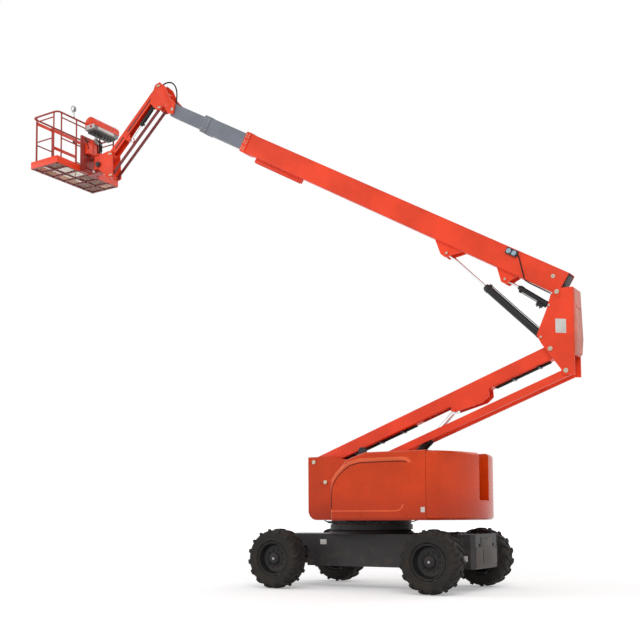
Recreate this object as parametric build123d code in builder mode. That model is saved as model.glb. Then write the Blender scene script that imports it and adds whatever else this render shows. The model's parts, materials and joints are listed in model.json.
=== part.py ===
"""Articulating boom lift: chassis, slewing turntable, parallel riser, telescopic boom, jib and platform.

Millimetres.  +X is the way the main boom points, +Y the machine's left and +Z up.  The origin is on the
ground, under the slewing axis.  The machine is modelled as it stands: riser and boom raised, jib lowered.
"""
import os
from math import atan2, cos, degrees, hypot, radians, sin, sqrt

from build123d import *

os.makedirs("parts", exist_ok=True)

# ---------------------------------------------------------------- driving dimensions
# running gear
FRONT_AXLE_X = 1250.0
REAR_AXLE_X = -1610.0
MACHINE_WIDTH = 2500.0
TYRE_RADIUS = 505.0
TYRE_WIDTH = 385.0
LUG_HEIGHT = 26.0
LUG_COUNT = 16
LUG_THICK = 46.0
LUG_SLANT = 28.0
TREAD_SIDES = 16
RIM_SIDES = 20
BEAD_BEVEL = 60.0
HUB_CAP = 60.0
RIM_RADIUS = 285.0
RIM_WALL = 10.0
WHEEL_DISC_THICK = 16.0
WHEEL_DISC_INSET = 120.0
KINGPIN_Y = 770.0
KINGPIN_RADIUS = 28.0
STEER_ARM = 170.0
HUB_RADIUS = 120.0

# chassis
CHASSIS_HALF_WIDTH = 515.0
CHASSIS_BOTTOM = 370.0
CHASSIS_TOP = 915.0
CHASSIS_REAR = -2080.0
CHASSIS_FRONT = 1720.0
COVER_LENGTH = 300.0
COVER_PROUD = 12.0
TIE_DOWN_Y = 300.0
TIE_DOWN_Z = 745.0
TIE_DOWN_RADIUS = 30.0
TIE_DOWN_DEEP = 60.0
PEDESTAL_RADIUS = 665.0
PEDESTAL_FLARE = 90.0
PEDESTAL_TOP = 985.0
BEARING_RADIUS = 710.0
BEARING_TOP = 1070.0

# turntable
DECK_BOTTOM = 1147.0
DECK_THICK = 28.0
HOOD_FRONT = 150.0
HOOD_SEAM = -1565.0
HOOD_TOP = 2240.0
HOOD_HALF_WIDTH = 1150.0
HOOD_WALL = 6.0
SLOT_HALF_WIDTH = 200.0
SWING_RADIUS = 2070.0
SLOT_FLOOR = 1450.0
CHEEK_INNER = 160.0
CHEEK_THICK = 25.0
CHEEK_FRONT = 1165.0
CHEEK_TOP = 2262.0
CHEEK_REAR = -1400.0
CHEEK_LOW_CORNER = 170.0
CHEEK_TOP_CORNER = 35.0
CHEEK_POST_FOOT = 1650.0
HINGE_Y = 210.0
HINGE_RADIUS = 8.0
HINGE_REAR = -1360.0
HINGE_FRONT = -560.0
HINGE_POST = 40.0

# riser: two parallel arms between the turntable and the upright, pins as (x, z)
RISER_FOOT = (1040.0, 2171.0)
RISER_TOP_PIN = (-3250.0, 3789.0)
LINK_SHIFT = (-235.0, -360.0)
RISER_HALF_WIDTH = 105.0
RISER_DEPTH = 225.0
RISER_DROP = 25.0
RISER_WALL = 8.0
LINK_INNER = 115.0
LINK_BAR = 35.0
LINK_DEPTH = 125.0
RISER_PIN_RADIUS = 38.0

# upright
UPRIGHT_INNER = 155.0
UPRIGHT_PLATE = 20.0
BOOM_PIVOT = (-3370.0, 4667.0)
LIFT_BASE = (-3108.0, 3984.0)
LEVEL_BASE = (-3245.0, 4470.0)

# main boom, in its own frame: along the boom from its pivot, and square to it
BOOM_ANGLE = 30.6
BOOM_AXIS = 150.0
BASE_LENGTH = 7030.0
BASE_TAIL = -20.0
BASE_DEPTH = 370.0
BASE_WIDTH = 300.0
MID_OUT = 8200.0
MID_DEPTH = 315.0
MID_WIDTH = 250.0
FLY_OUT = 9120.0
FLY_DEPTH = 258.0
FLY_WIDTH = 205.0
TUBE_WALL = 8.0
TUBE_CORNER = 22.0
LIFT_EYE = (2056.0, -162.0)
LEVEL_EYE = (900.0, -150.0)

# jib and its bracket, pins as (x, z)
HEAD_PIN = (4400.0, 9440.0)
JIB_TOP_PIN = (4762.0, 10000.0)
JIB_LOW_PIN = (6085.0, 8861.0)
JIB_LINK_SHIFT = (-20.0, -455.0)
JIB_CYL_BASE = (4910.0, 9755.0)
JIB_CYL_EYE = (5605.0, 9098.0)
HEAD_INNER = 112.0
HEAD_PLATE = 20.0
HEAD_CROSS = (4590.0, 9820.0)
JIB_CYL_PLATE = 62.0
JIB_DEPTH = 150.0
JIB_HALF_WIDTH = 80.0
JIB_WALL = 10.0

# platform
PLATFORM_REAR = 6850.0
PLATFORM_DEPTH = 760.0
PLATFORM_WIDTH = 1830.0
FLOOR_Z = 8600.0
RAIL_TOP = 9730.0
RAIL_TUBE = 19.0
TOE_HEIGHT = 150.0
LAMP_Y = 425.0
ROTATOR_X = 6480.0
ROTATOR_RADIUS = 110.0

# fits
PIN_CLEAR = 0.05
SEAT = 0.3
PIN_RADIUS = 25.0
PIN_HEAD = 12.0
HINGE_Z = HOOD_TOP - HOOD_WALL - SEAT - HINGE_RADIUS


# ---------------------------------------------------------------- planes and shapes
def side(y):
    """The plane across the machine at Y = y: local x is X and local y is Z, and it extrudes towards -Y."""
    return Plane.XZ.offset(-y)


def arm(origin, angle, y=0.0):
    """A side plane turned to lie along an arm: local x runs along it, local y square to it and up."""
    a = radians(angle)
    return Plane(origin=(origin[0], y, origin[1]), x_dir=(cos(a), 0, sin(a)), z_dir=(0, -1, 0))


def across(origin, angle, along):
    """The plane square to an arm at a distance along it: local x is Y and local y is square to the arm."""
    a = radians(angle)
    spot = (origin[0] + along * cos(a), 0, origin[1] + along * sin(a))
    return Plane(origin=spot, x_dir=(0, 1, 0), z_dir=(cos(a), 0, sin(a)))


def point_on(origin, angle, spot):
    """The (x, z) of a spot given along and square to an arm."""
    a = radians(angle)
    return (origin[0] + spot[0] * cos(a) - spot[1] * sin(a), origin[1] + spot[0] * sin(a) + spot[1] * cos(a))


def reach(a, b):
    """Distance and angle from one (x, z) to another."""
    return hypot(b[0] - a[0], b[1] - a[1]), degrees(atan2(b[1] - a[1], b[0] - a[0]))


def shifted(pin, shift):
    return (pin[0] + shift[0], pin[1] + shift[1])


def slab(outline, y_left, thick, mode=Mode.ADD):
    """A plate from an (x, z) outline, from Y = y_left down to y_left - thick."""
    with BuildSketch(side(y_left)) as profile:
        with BuildLine():
            Polyline(*outline, close=True)
        make_face()
    extrude(profile.sketch, amount=thick, mode=mode)


def disc(pin, radius, y_left, thick, mode=Mode.ADD):
    """A round across the machine, centred on a pin."""
    with BuildSketch(side(y_left)) as profile:
        with Locations(pin):
            Circle(radius)
    extrude(profile.sketch, amount=thick, mode=mode)


def through_pin(pin, radius, half_length):
    """A pin right across the machine."""
    disc(pin, radius, half_length, 2 * half_length)


def block(x0, x1, y0, y1, z0, z1, mode=Mode.ADD):
    with Locations(((x0 + x1) / 2, (y0 + y1) / 2, (z0 + z1) / 2)):
        Box(x1 - x0, y1 - y0, z1 - z0, mode=mode)


def tube(origin, angle, start, end, width, depth, middle, wall):
    """A box section with rolled corners along an arm, open at both ends."""
    with BuildSketch(across(origin, angle, start)) as section:
        with Locations((0, middle)):
            RectangleRounded(width, depth, TUBE_CORNER)
            RectangleRounded(width - 2 * wall, depth - 2 * wall, TUBE_CORNER - wall, mode=Mode.SUBTRACT)
    extrude(section.sketch, amount=end - start)


def save(part, name):
    part.label = name
    export_step(part, f"parts/{name}.step")


# ---------------------------------------------------------------- wheels
TRACK_Y = (MACHINE_WIDTH - TYRE_WIDTH) / 2
CARCASS_RADIUS = TYRE_RADIUS - LUG_HEIGHT
BEAD_HALF = TYRE_WIDTH / 2 - 30
SHOULDER = 45.0

LUG_LENGTH = (TYRE_WIDTH / 2 - LUG_THICK * sin(radians(LUG_SLANT))) / cos(radians(LUG_SLANT))
LUG_SWEEP = (LUG_LENGTH * sin(radians(LUG_SLANT)) + LUG_THICK * cos(radians(LUG_SLANT))) / 2
LUG_TOP = sqrt(TYRE_RADIUS**2 - LUG_SWEEP**2)
LUG_ROOT = 85.0


def ring_of_sides(y_left, thick, radius, sides, mode=Mode.ADD):
    """A many-sided band about the wheel's axle."""
    with BuildSketch(side(y_left)) as outline:
        RegularPolygon(radius, sides)
    extrude(outline.sketch, amount=thick, mode=mode)


def bevel_of_sides(y_from, radius_from, y_to, radius_to, sides, mode=Mode.ADD):
    """A many-sided bevel about the wheel's axle."""
    with BuildSketch(side(y_from)) as near:
        RegularPolygon(radius_from, sides)
    with BuildSketch(side(y_to)) as far:
        RegularPolygon(radius_to, sides)
    loft([near.sketch, far.sketch], mode=mode)


with BuildPart() as tyre:
    ring_of_sides(TYRE_WIDTH / 2 - SHOULDER, TYRE_WIDTH - 2 * SHOULDER, CARCASS_RADIUS, TREAD_SIDES)
    for s in (-1, 1):
        bevel_of_sides(s * (TYRE_WIDTH / 2 - SHOULDER), CARCASS_RADIUS, s * TYRE_WIDTH / 2,
                       CARCASS_RADIUS - SHOULDER, TREAD_SIDES)
    # slanted lugs, the left and right rows half a step apart
    for row in (-1, 1):
        turn = (row + 1) / 2 * 180 / LUG_COUNT
        for step in range(LUG_COUNT):
            tilt = Rotation(0, step * 360 / LUG_COUNT + turn, 0)
            spot = Location((LUG_TOP - LUG_ROOT / 2, row * TYRE_WIDTH / 4, 0), (row * LUG_SLANT, 0, 0))
            with Locations(tilt * spot):
                Box(LUG_ROOT, LUG_LENGTH, LUG_THICK)
    for s in (-1, 1):
        bevel_of_sides(s * BEAD_HALF, RIM_RADIUS + SEAT, s * (TYRE_WIDTH / 2 + 1), RIM_RADIUS + BEAD_BEVEL,
                       RIM_SIDES, mode=Mode.SUBTRACT)
    ring_of_sides(TYRE_WIDTH / 2, TYRE_WIDTH, RIM_RADIUS + SEAT, RIM_SIDES, mode=Mode.SUBTRACT)

DISC_OUTER_Y = TYRE_WIDTH / 2 - WHEEL_DISC_INSET
with BuildPart() as rim:
    ring_of_sides(BEAD_HALF, 2 * BEAD_HALF, RIM_RADIUS, RIM_SIDES)
    ring_of_sides(BEAD_HALF, BEAD_HALF - DISC_OUTER_Y, RIM_RADIUS - RIM_WALL, RIM_SIDES, mode=Mode.SUBTRACT)
    ring_of_sides(DISC_OUTER_Y - WHEEL_DISC_THICK, BEAD_HALF + DISC_OUTER_Y - WHEEL_DISC_THICK,
                  RIM_RADIUS - RIM_WALL, RIM_SIDES, mode=Mode.SUBTRACT)
    ring_of_sides(DISC_OUTER_Y + HUB_CAP, HUB_CAP, HUB_RADIUS - 20, RIM_SIDES)

# name, x, side (1 is left), hub face towards the machine's middle
WHEELS = [
    ("front_left", FRONT_AXLE_X, 1),
    ("front_right", FRONT_AXLE_X, -1),
    ("rear_left", REAR_AXLE_X, 1),
    ("rear_right", REAR_AXLE_X, -1),
]
for wheel_name, wheel_x, wheel_side in WHEELS:
    turned = 0 if wheel_side == 1 else 180
    place = Location((wheel_x, wheel_side * TRACK_Y, TYRE_RADIUS), (0, 0, turned))
    for kind, blank in (("tyre", tyre), ("rim", rim)):
        with BuildPart() as wheel_piece:
            add(blank.part.moved(place))
        save(wheel_piece.part, f"{kind}_{wheel_name}")

# ---------------------------------------------------------------- axles, knuckles and steering
DISC_INNER_Y = TRACK_Y + TYRE_WIDTH / 2 - WHEEL_DISC_INSET - WHEEL_DISC_THICK
AXLE_HALF_DEPTH = 75.0
YOKE_ARM = 36.0
YOKE_GAP = 5.0
KNUCKLE_HALF = 90.0

with BuildPart() as rear_axle:
    block(REAR_AXLE_X - 100, REAR_AXLE_X + 100, -KINGPIN_Y, KINGPIN_Y,
          TYRE_RADIUS - AXLE_HALF_DEPTH, TYRE_RADIUS + AXLE_HALF_DEPTH)
    for y_left in (DISC_INNER_Y - SEAT, -KINGPIN_Y + 60):
        disc((REAR_AXLE_X, TYRE_RADIUS), HUB_RADIUS, y_left, DISC_INNER_Y - SEAT - KINGPIN_Y + 60)
save(rear_axle.part, "rear_axle")

with BuildPart() as front_axle:
    block(FRONT_AXLE_X - 90, FRONT_AXLE_X + 90, -(KINGPIN_Y - 110), KINGPIN_Y - 110,
          TYRE_RADIUS - AXLE_HALF_DEPTH, TYRE_RADIUS + AXLE_HALF_DEPTH)
    for s in (-1, 1):
        for z0 in (TYRE_RADIUS - KNUCKLE_HALF - YOKE_GAP - YOKE_ARM, TYRE_RADIUS + KNUCKLE_HALF + YOKE_GAP):
            y_pair = sorted((s * (KINGPIN_Y - 150), s * (KINGPIN_Y + 45)))
            block(FRONT_AXLE_X - 60, FRONT_AXLE_X + 60, y_pair[0], y_pair[1], z0, z0 + YOKE_ARM)
        y_pair = sorted((s * (KINGPIN_Y - 150), s * (KINGPIN_Y - 110)))
        block(FRONT_AXLE_X - 90, FRONT_AXLE_X + 90, y_pair[0], y_pair[1],
              TYRE_RADIUS - KNUCKLE_HALF - YOKE_GAP - YOKE_ARM, TYRE_RADIUS + KNUCKLE_HALF + YOKE_GAP + YOKE_ARM)
        with BuildSketch(Plane.XY.offset(TYRE_RADIUS - KNUCKLE_HALF - YOKE_GAP - YOKE_ARM)):
            with Locations((FRONT_AXLE_X, s * KINGPIN_Y)):
                Circle(KINGPIN_RADIUS)
        extrude(amount=2 * (KNUCKLE_HALF + YOKE_GAP + YOKE_ARM))
    # oscillation trunnion under the chassis
    block(FRONT_AXLE_X - 90, FRONT_AXLE_X + 90, -110, 110, TYRE_RADIUS + AXLE_HALF_DEPTH, CHASSIS_BOTTOM + 335)
save(front_axle.part, "front_axle")

ARM_Z = TYRE_RADIUS - KNUCKLE_HALF
for knuckle_name, s in (("left", 1), ("right", -1)):
    with BuildPart() as knuckle:
        with BuildSketch(Plane.XY.offset(TYRE_RADIUS - KNUCKLE_HALF)):
            with Locations((FRONT_AXLE_X, s * KINGPIN_Y)):
                Circle(52)
        extrude(amount=2 * KNUCKLE_HALF)
        y_left = DISC_INNER_Y - SEAT if s == 1 else -(KINGPIN_Y + 20)
        disc((FRONT_AXLE_X, TYRE_RADIUS), HUB_RADIUS - 35, y_left, DISC_INNER_Y - SEAT - KINGPIN_Y - 20)
        disc((FRONT_AXLE_X, TYRE_RADIUS), HUB_RADIUS,
             DISC_INNER_Y - SEAT if s == 1 else -(KINGPIN_Y + 90), DISC_INNER_Y - SEAT - KINGPIN_Y - 90)
        y_pair = sorted((s * (KINGPIN_Y - 25), s * (KINGPIN_Y + 25)))
        block(FRONT_AXLE_X - STEER_ARM - 25, FRONT_AXLE_X, y_pair[0], y_pair[1], ARM_Z, ARM_Z + 30)
        with BuildSketch(Plane.XY.offset(TYRE_RADIUS - KNUCKLE_HALF - 1)):
            with Locations((FRONT_AXLE_X, s * KINGPIN_Y)):
                Circle(KINGPIN_RADIUS + PIN_CLEAR)
        extrude(amount=2 * KNUCKLE_HALF + 2, mode=Mode.SUBTRACT)
    save(knuckle.part, f"knuckle_{knuckle_name}")

STEER_X = FRONT_AXLE_X - STEER_ARM
STEER_Z = ARM_Z + 30 + 2 + 24
STEER_ROD_RADIUS = 18.0
with BuildPart() as steer_barrel:
    disc((STEER_X, STEER_Z), 38, 230, 460)
    disc((STEER_X, STEER_Z), STEER_ROD_RADIUS + PIN_CLEAR, 231, 462, mode=Mode.SUBTRACT)
    for y0 in (-200, 160):
        block(STEER_X + 30, FRONT_AXLE_X - 90, y0, y0 + 40, STEER_Z - 30, STEER_Z + 30)
save(steer_barrel.part, "steer_barrel")

with BuildPart() as steer_rod:
    disc((STEER_X, STEER_Z), STEER_ROD_RADIUS, KINGPIN_Y - 20, 2 * (KINGPIN_Y - 20))
    for s in (-1, 1):
        disc((STEER_X, STEER_Z), 24, s * KINGPIN_Y + 24, 48)
save(steer_rod.part, "steer_rod")

# ---------------------------------------------------------------- chassis
ARCH_HALF = 260.0
ARCH_TOP = CHASSIS_BOTTOM + 335
with BuildPart() as chassis_frame:
    block(CHASSIS_REAR, CHASSIS_FRONT, -CHASSIS_HALF_WIDTH, CHASSIS_HALF_WIDTH, CHASSIS_BOTTOM, CHASSIS_TOP)
    end_edges = chassis_frame.edges().filter_by(Axis.Z)
    chamfer(end_edges, 60)
    # the front axle swings under an arch, and the rear axle is bolted up into a saddle
    block(FRONT_AXLE_X - ARCH_HALF, FRONT_AXLE_X + ARCH_HALF - 60, -CHASSIS_HALF_WIDTH, CHASSIS_HALF_WIDTH,
          CHASSIS_BOTTOM, ARCH_TOP, mode=Mode.SUBTRACT)
    block(REAR_AXLE_X - 100 - SEAT, REAR_AXLE_X + 100 + SEAT, -CHASSIS_HALF_WIDTH, CHASSIS_HALF_WIDTH,
          CHASSIS_BOTTOM, TYRE_RADIUS + AXLE_HALF_DEPTH, mode=Mode.SUBTRACT)
    with BuildSketch(Plane.XY.offset(CHASSIS_TOP)):
        Circle(PEDESTAL_RADIUS + PEDESTAL_FLARE)
    with BuildSketch(Plane.XY.offset(PEDESTAL_TOP)):
        Circle(PEDESTAL_RADIUS)
    loft()
    # end covers stand proud of the side plates
    for x0, x1 in ((CHASSIS_REAR + 70, CHASSIS_REAR + 70 + COVER_LENGTH),
                   (CHASSIS_FRONT - 70 - COVER_LENGTH, CHASSIS_FRONT - 70)):
        block(x0, x1, -CHASSIS_HALF_WIDTH - COVER_PROUD, CHASSIS_HALF_WIDTH + COVER_PROUD,
              CHASSIS_BOTTOM + 60, CHASSIS_TOP - 40)
    # blind tie-down sockets in the end faces
    for x, depth in ((CHASSIS_REAR, TIE_DOWN_DEEP), (CHASSIS_FRONT, -TIE_DOWN_DEEP)):
        with BuildSketch(Plane.YZ.offset(x)):
            with Locations((TIE_DOWN_Y, TIE_DOWN_Z), (-TIE_DOWN_Y, TIE_DOWN_Z)):
                Circle(TIE_DOWN_RADIUS)
        extrude(amount=depth, mode=Mode.SUBTRACT)
save(chassis_frame.part, "chassis_frame")

with BuildPart() as slew_bearing:
    with BuildSketch(Plane.XY.offset(PEDESTAL_TOP)):
        Circle(BEARING_RADIUS)
        Circle(BEARING_RADIUS - 160, mode=Mode.SUBTRACT)
    extrude(amount=BEARING_TOP - PEDESTAL_TOP)
save(slew_bearing.part, "slew_bearing")

# ---------------------------------------------------------------- turntable
LINK_FOOT = shifted(RISER_FOOT, LINK_SHIFT)
RISER_CYL_BASE = (10.0, 1318.0)
with BuildPart() as turntable_frame:
    with BuildSketch(Plane.XY.offset(DECK_BOTTOM)):
        with BuildLine():
            Polyline(
                (HOOD_SEAM, -HOOD_HALF_WIDTH + 20), (HOOD_FRONT - 20, -HOOD_HALF_WIDTH + 20),
                (HOOD_FRONT - 20, -CHEEK_INNER), (CHEEK_FRONT - 180, -CHEEK_INNER), (CHEEK_FRONT - 180, CHEEK_INNER),
                (HOOD_FRONT - 20, CHEEK_INNER), (HOOD_FRONT - 20, HOOD_HALF_WIDTH - 20),
                (HOOD_SEAM, HOOD_HALF_WIDTH - 20), close=True)
        make_face()
    extrude(amount=DECK_THICK)
    with BuildSketch(Plane.XY.offset(BEARING_TOP + SEAT)):
        Circle(BEARING_RADIUS - 30)
        Circle(BEARING_RADIUS - 160, mode=Mode.SUBTRACT)
    extrude(amount=DECK_BOTTOM - BEARING_TOP - SEAT)
    for y_left in (CHEEK_INNER + CHEEK_THICK, -CHEEK_INNER):
        with BuildSketch(side(y_left)) as cheek:
            with BuildLine():
                Polyline(
                    (CHEEK_REAR, DECK_BOTTOM), (CHEEK_FRONT, DECK_BOTTOM), (CHEEK_FRONT, CHEEK_TOP),
                    (700, CHEEK_TOP), (-200, 2080), (CHEEK_REAR, 1700), close=True)
            make_face()
            fillet(cheek.vertices().group_by(Axis.X)[-1].sort_by(Axis.Z)[0], CHEEK_LOW_CORNER)
            fillet(cheek.vertices().group_by(Axis.X)[-1].sort_by(Axis.Z)[-1], CHEEK_TOP_CORNER)
        extrude(amount=CHEEK_THICK)
    for pin in (RISER_FOOT, LINK_FOOT, RISER_CYL_BASE):
        through_pin(pin, RISER_PIN_RADIUS, CHEEK_INNER + CHEEK_THICK + PIN_HEAD)
    # the hoods' hinge rods, each held by posts on its cheek
    for s in (-1, 1):
        with BuildSketch(Plane.YZ.offset(HINGE_REAR)):
            with Locations((s * HINGE_Y, HINGE_Z)):
                Circle(HINGE_RADIUS)
        extrude(amount=HINGE_FRONT - HINGE_REAR)
        for x in (HINGE_REAR, (HINGE_REAR + HINGE_FRONT) / 2, HINGE_FRONT - HINGE_POST):
            y_post = sorted((s * CHEEK_INNER, s * (CHEEK_INNER + CHEEK_THICK)))
            block(x, x + HINGE_POST, y_post[0], y_post[1], CHEEK_POST_FOOT, HINGE_Z - 16)
            y_arm = sorted((s * CHEEK_INNER, s * (HINGE_Y + HINGE_RADIUS)))
            block(x, x + HINGE_POST, y_arm[0], y_arm[1], HINGE_Z - 36, HINGE_Z - 16)
            y_rod = sorted((s * (HINGE_Y - HINGE_RADIUS), s * (HINGE_Y + HINGE_RADIUS)))
            block(x, x + HINGE_POST, y_rod[0], y_rod[1], HINGE_Z - 36, HINGE_Z)
save(turntable_frame.part, "turntable_frame")

# hoods: a bent shell over each side, hung along its inner top edge and open underneath
HOOD_BOTTOM = DECK_BOTTOM + DECK_THICK + SEAT
HOOD_INNER = SLOT_HALF_WIDTH
HOOD_GAP = 6.0
HOOD_CORNER = 45.0
HOOD_BEND = 260.0

for hood_name, s in (("left", 1), ("right", -1)):
    y_out = s * HOOD_HALF_WIDTH
    with BuildPart() as hood:
        with BuildSketch(side(max(y_out, s * HOOD_INNER))) as outer:
            with BuildLine():
                FilletPolyline(
                    (HOOD_FRONT, HOOD_BOTTOM), (HOOD_FRONT, HOOD_TOP - 450), (HOOD_FRONT - 280, HOOD_TOP - 110),
                    (HOOD_FRONT - 630, HOOD_TOP), (HOOD_SEAM + HOOD_GAP, HOOD_TOP), radius=HOOD_BEND)
                Polyline((HOOD_SEAM + HOOD_GAP, HOOD_TOP), (HOOD_SEAM + HOOD_GAP, HOOD_BOTTOM),
                         (HOOD_FRONT, HOOD_BOTTOM))
            make_face()
        extrude(outer.sketch, amount=HOOD_HALF_WIDTH - HOOD_INNER)
        long_top = hood.edges().filter_by(Plane.XZ).group_by(Axis.Y)[-1 if s == 1 else 0]
        round_edges = [e for e in long_top if e.center().Z > HOOD_BOTTOM + 5 and e.center().X > HOOD_SEAM + 10]
        fillet(round_edges, HOOD_CORNER)
        open_faces = [
            hood.faces().sort_by(Axis.Z)[0],
            hood.faces().filter_by(Axis.X).sort_by(Axis.X)[0],
            hood.faces().filter_by(Axis.Y).sort_by(Axis.Y)[0 if s == 1 else -1],
        ]
        offset(amount=-HOOD_WALL, openings=open_faces)
    save(hood.part, f"hood_{hood_name}")

with BuildPart() as counterweight:
    with BuildSketch(Plane.XY.offset(DECK_BOTTOM)) as plan:
        Circle(SWING_RADIUS)
        with Locations((HOOD_SEAM - 1000, 0)):
            Rectangle(2000, 2 * HOOD_HALF_WIDTH, mode=Mode.INTERSECT)
    extrude(amount=HOOD_TOP - 15 - DECK_BOTTOM)
    corners = counterweight.edges().filter_by(Axis.Z).sort_by(Axis.X)[0:2]
    fillet(corners, 120)
    rims = counterweight.edges().filter_by(Plane.XY).group_by(Axis.Z)
    fillet([e for e in rims[-1] if e.center().X < HOOD_SEAM - 5], 55)
    rims = counterweight.edges().filter_by(Plane.XY).group_by(Axis.Z)
    chamfer([e for e in rims[0] if e.center().X < HOOD_SEAM - 5], 35)
    block(-SWING_RADIUS - 10, HOOD_SEAM + 10, -SLOT_HALF_WIDTH, SLOT_HALF_WIDTH, SLOT_FLOOR, HOOD_TOP + 10,
          mode=Mode.SUBTRACT)
save(counterweight.part, "counterweight")

ENGINE_SIZE = (820.0, 560.0, 700.0)
TANK_SIZE = (900.0, 520.0, 620.0)
TRAY_Y = 660.0
with BuildPart() as engine_block:
    with Locations((-650, -TRAY_Y, DECK_BOTTOM + DECK_THICK + ENGINE_SIZE[2] / 2)):
        Box(*ENGINE_SIZE)
save(engine_block.part, "engine_block")
with BuildPart() as tank_block:
    with Locations((-700, TRAY_Y, DECK_BOTTOM + DECK_THICK + TANK_SIZE[2] / 2)):
        Box(*TANK_SIZE)
save(tank_block.part, "tank_block")

with BuildPart() as motion_alarm:
    bracket_y = CHEEK_INNER + CHEEK_THICK + SEAT
    block(20, 70, bracket_y, bracket_y + 8, 2040, 2330)
    disc((45, 2325), 72, bracket_y + 8 + 50, 50)
save(motion_alarm.part, "motion_alarm")

# ---------------------------------------------------------------- riser
RISER_LENGTH, RISER_SLOPE = reach(RISER_TOP_PIN, RISER_FOOT)
LINK_TOP_PIN = shifted(RISER_TOP_PIN, LINK_SHIFT)
RISER_CYL_EYE = (-1590.0, 2950.0)
RISER_TAIL = 90.0
SLOT_START = 1500.0
SLOT_END = 2450.0
SLOT_WIDTH = 150.0


def eye_rings(pins, radius, y_left, thick, bore):
    """Bosses with a running bore, one for each pin."""
    for pin in pins:
        disc(pin, radius, y_left, thick)
        disc(pin, bore, y_left + 1, thick + 2, mode=Mode.SUBTRACT)


def on_riser(spot):
    return point_on(RISER_TOP_PIN, RISER_SLOPE, spot)


with BuildPart() as riser_boom:
    tube(RISER_TOP_PIN, RISER_SLOPE, -RISER_TAIL, RISER_LENGTH + RISER_TAIL, 2 * RISER_HALF_WIDTH, RISER_DEPTH,
         -RISER_DROP, RISER_WALL)
    # the cylinder's bracket: two cheeks flush with the sides, and a slot between them
    for y_left in (RISER_HALF_WIDTH, -RISER_HALF_WIDTH + 18):
        slab([on_riser(q) for q in ((1150, -80), (1200, -250), (1330, -300), (1830, -250), (1900, -80))],
             y_left, 18)
    with BuildSketch(arm(RISER_TOP_PIN, RISER_SLOPE, SLOT_WIDTH / 2)) as opening:
        with Locations(((SLOT_START + SLOT_END) / 2, -RISER_DROP - RISER_DEPTH / 2)):
            Rectangle(SLOT_END - SLOT_START, 2 * RISER_WALL + 8)
    extrude(opening.sketch, amount=SLOT_WIDTH, mode=Mode.SUBTRACT)
    eye_rings((RISER_FOOT, RISER_TOP_PIN), RISER_PIN_RADIUS + 24, RISER_HALF_WIDTH + 30, 2 * RISER_HALF_WIDTH + 60,
              RISER_PIN_RADIUS + PIN_CLEAR)
    for y_left in (RISER_HALF_WIDTH + 14, -RISER_HALF_WIDTH):
        disc(RISER_CYL_EYE, PIN_RADIUS + 12, y_left, 14)
save(riser_boom.part, "riser_boom")

with BuildPart() as riser_link:
    for y_left in (LINK_INNER + LINK_BAR, -LINK_INNER):
        with BuildSketch(arm(LINK_TOP_PIN, RISER_SLOPE, y_left)) as bar:
            with Locations((RISER_LENGTH / 2, -RISER_DROP)):
                RectangleRounded(RISER_LENGTH + 130, LINK_DEPTH, 45)
            with Locations((0, 0), (RISER_LENGTH, 0)):
                Circle(RISER_PIN_RADIUS + PIN_CLEAR, mode=Mode.SUBTRACT)
        extrude(bar.sketch, amount=LINK_BAR)
    # cross tubes tie the two bars clear of the cylinder
    for along in (500.0, 3950.0):
        disc(point_on(LINK_TOP_PIN, RISER_SLOPE, (along, -RISER_DROP)), 30, LINK_INNER + 5, 2 * LINK_INNER + 10)
save(riser_link.part, "riser_link")

RISER_CYL_LENGTH, RISER_CYL_ANGLE = reach(RISER_CYL_BASE, RISER_CYL_EYE)
LIFT_PIN = point_on(BOOM_PIVOT, BOOM_ANGLE, LIFT_EYE)
LIFT_LENGTH, LIFT_ANGLE = reach(LIFT_BASE, LIFT_PIN)
LEVEL_PIN = point_on(BOOM_PIVOT, BOOM_ANGLE, LEVEL_EYE)
LEVEL_LENGTH, LEVEL_ANGLE = reach(LEVEL_BASE, LEVEL_PIN)
JIB_CYL_LENGTH, JIB_CYL_ANGLE = reach(JIB_CYL_BASE, JIB_CYL_EYE)

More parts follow.
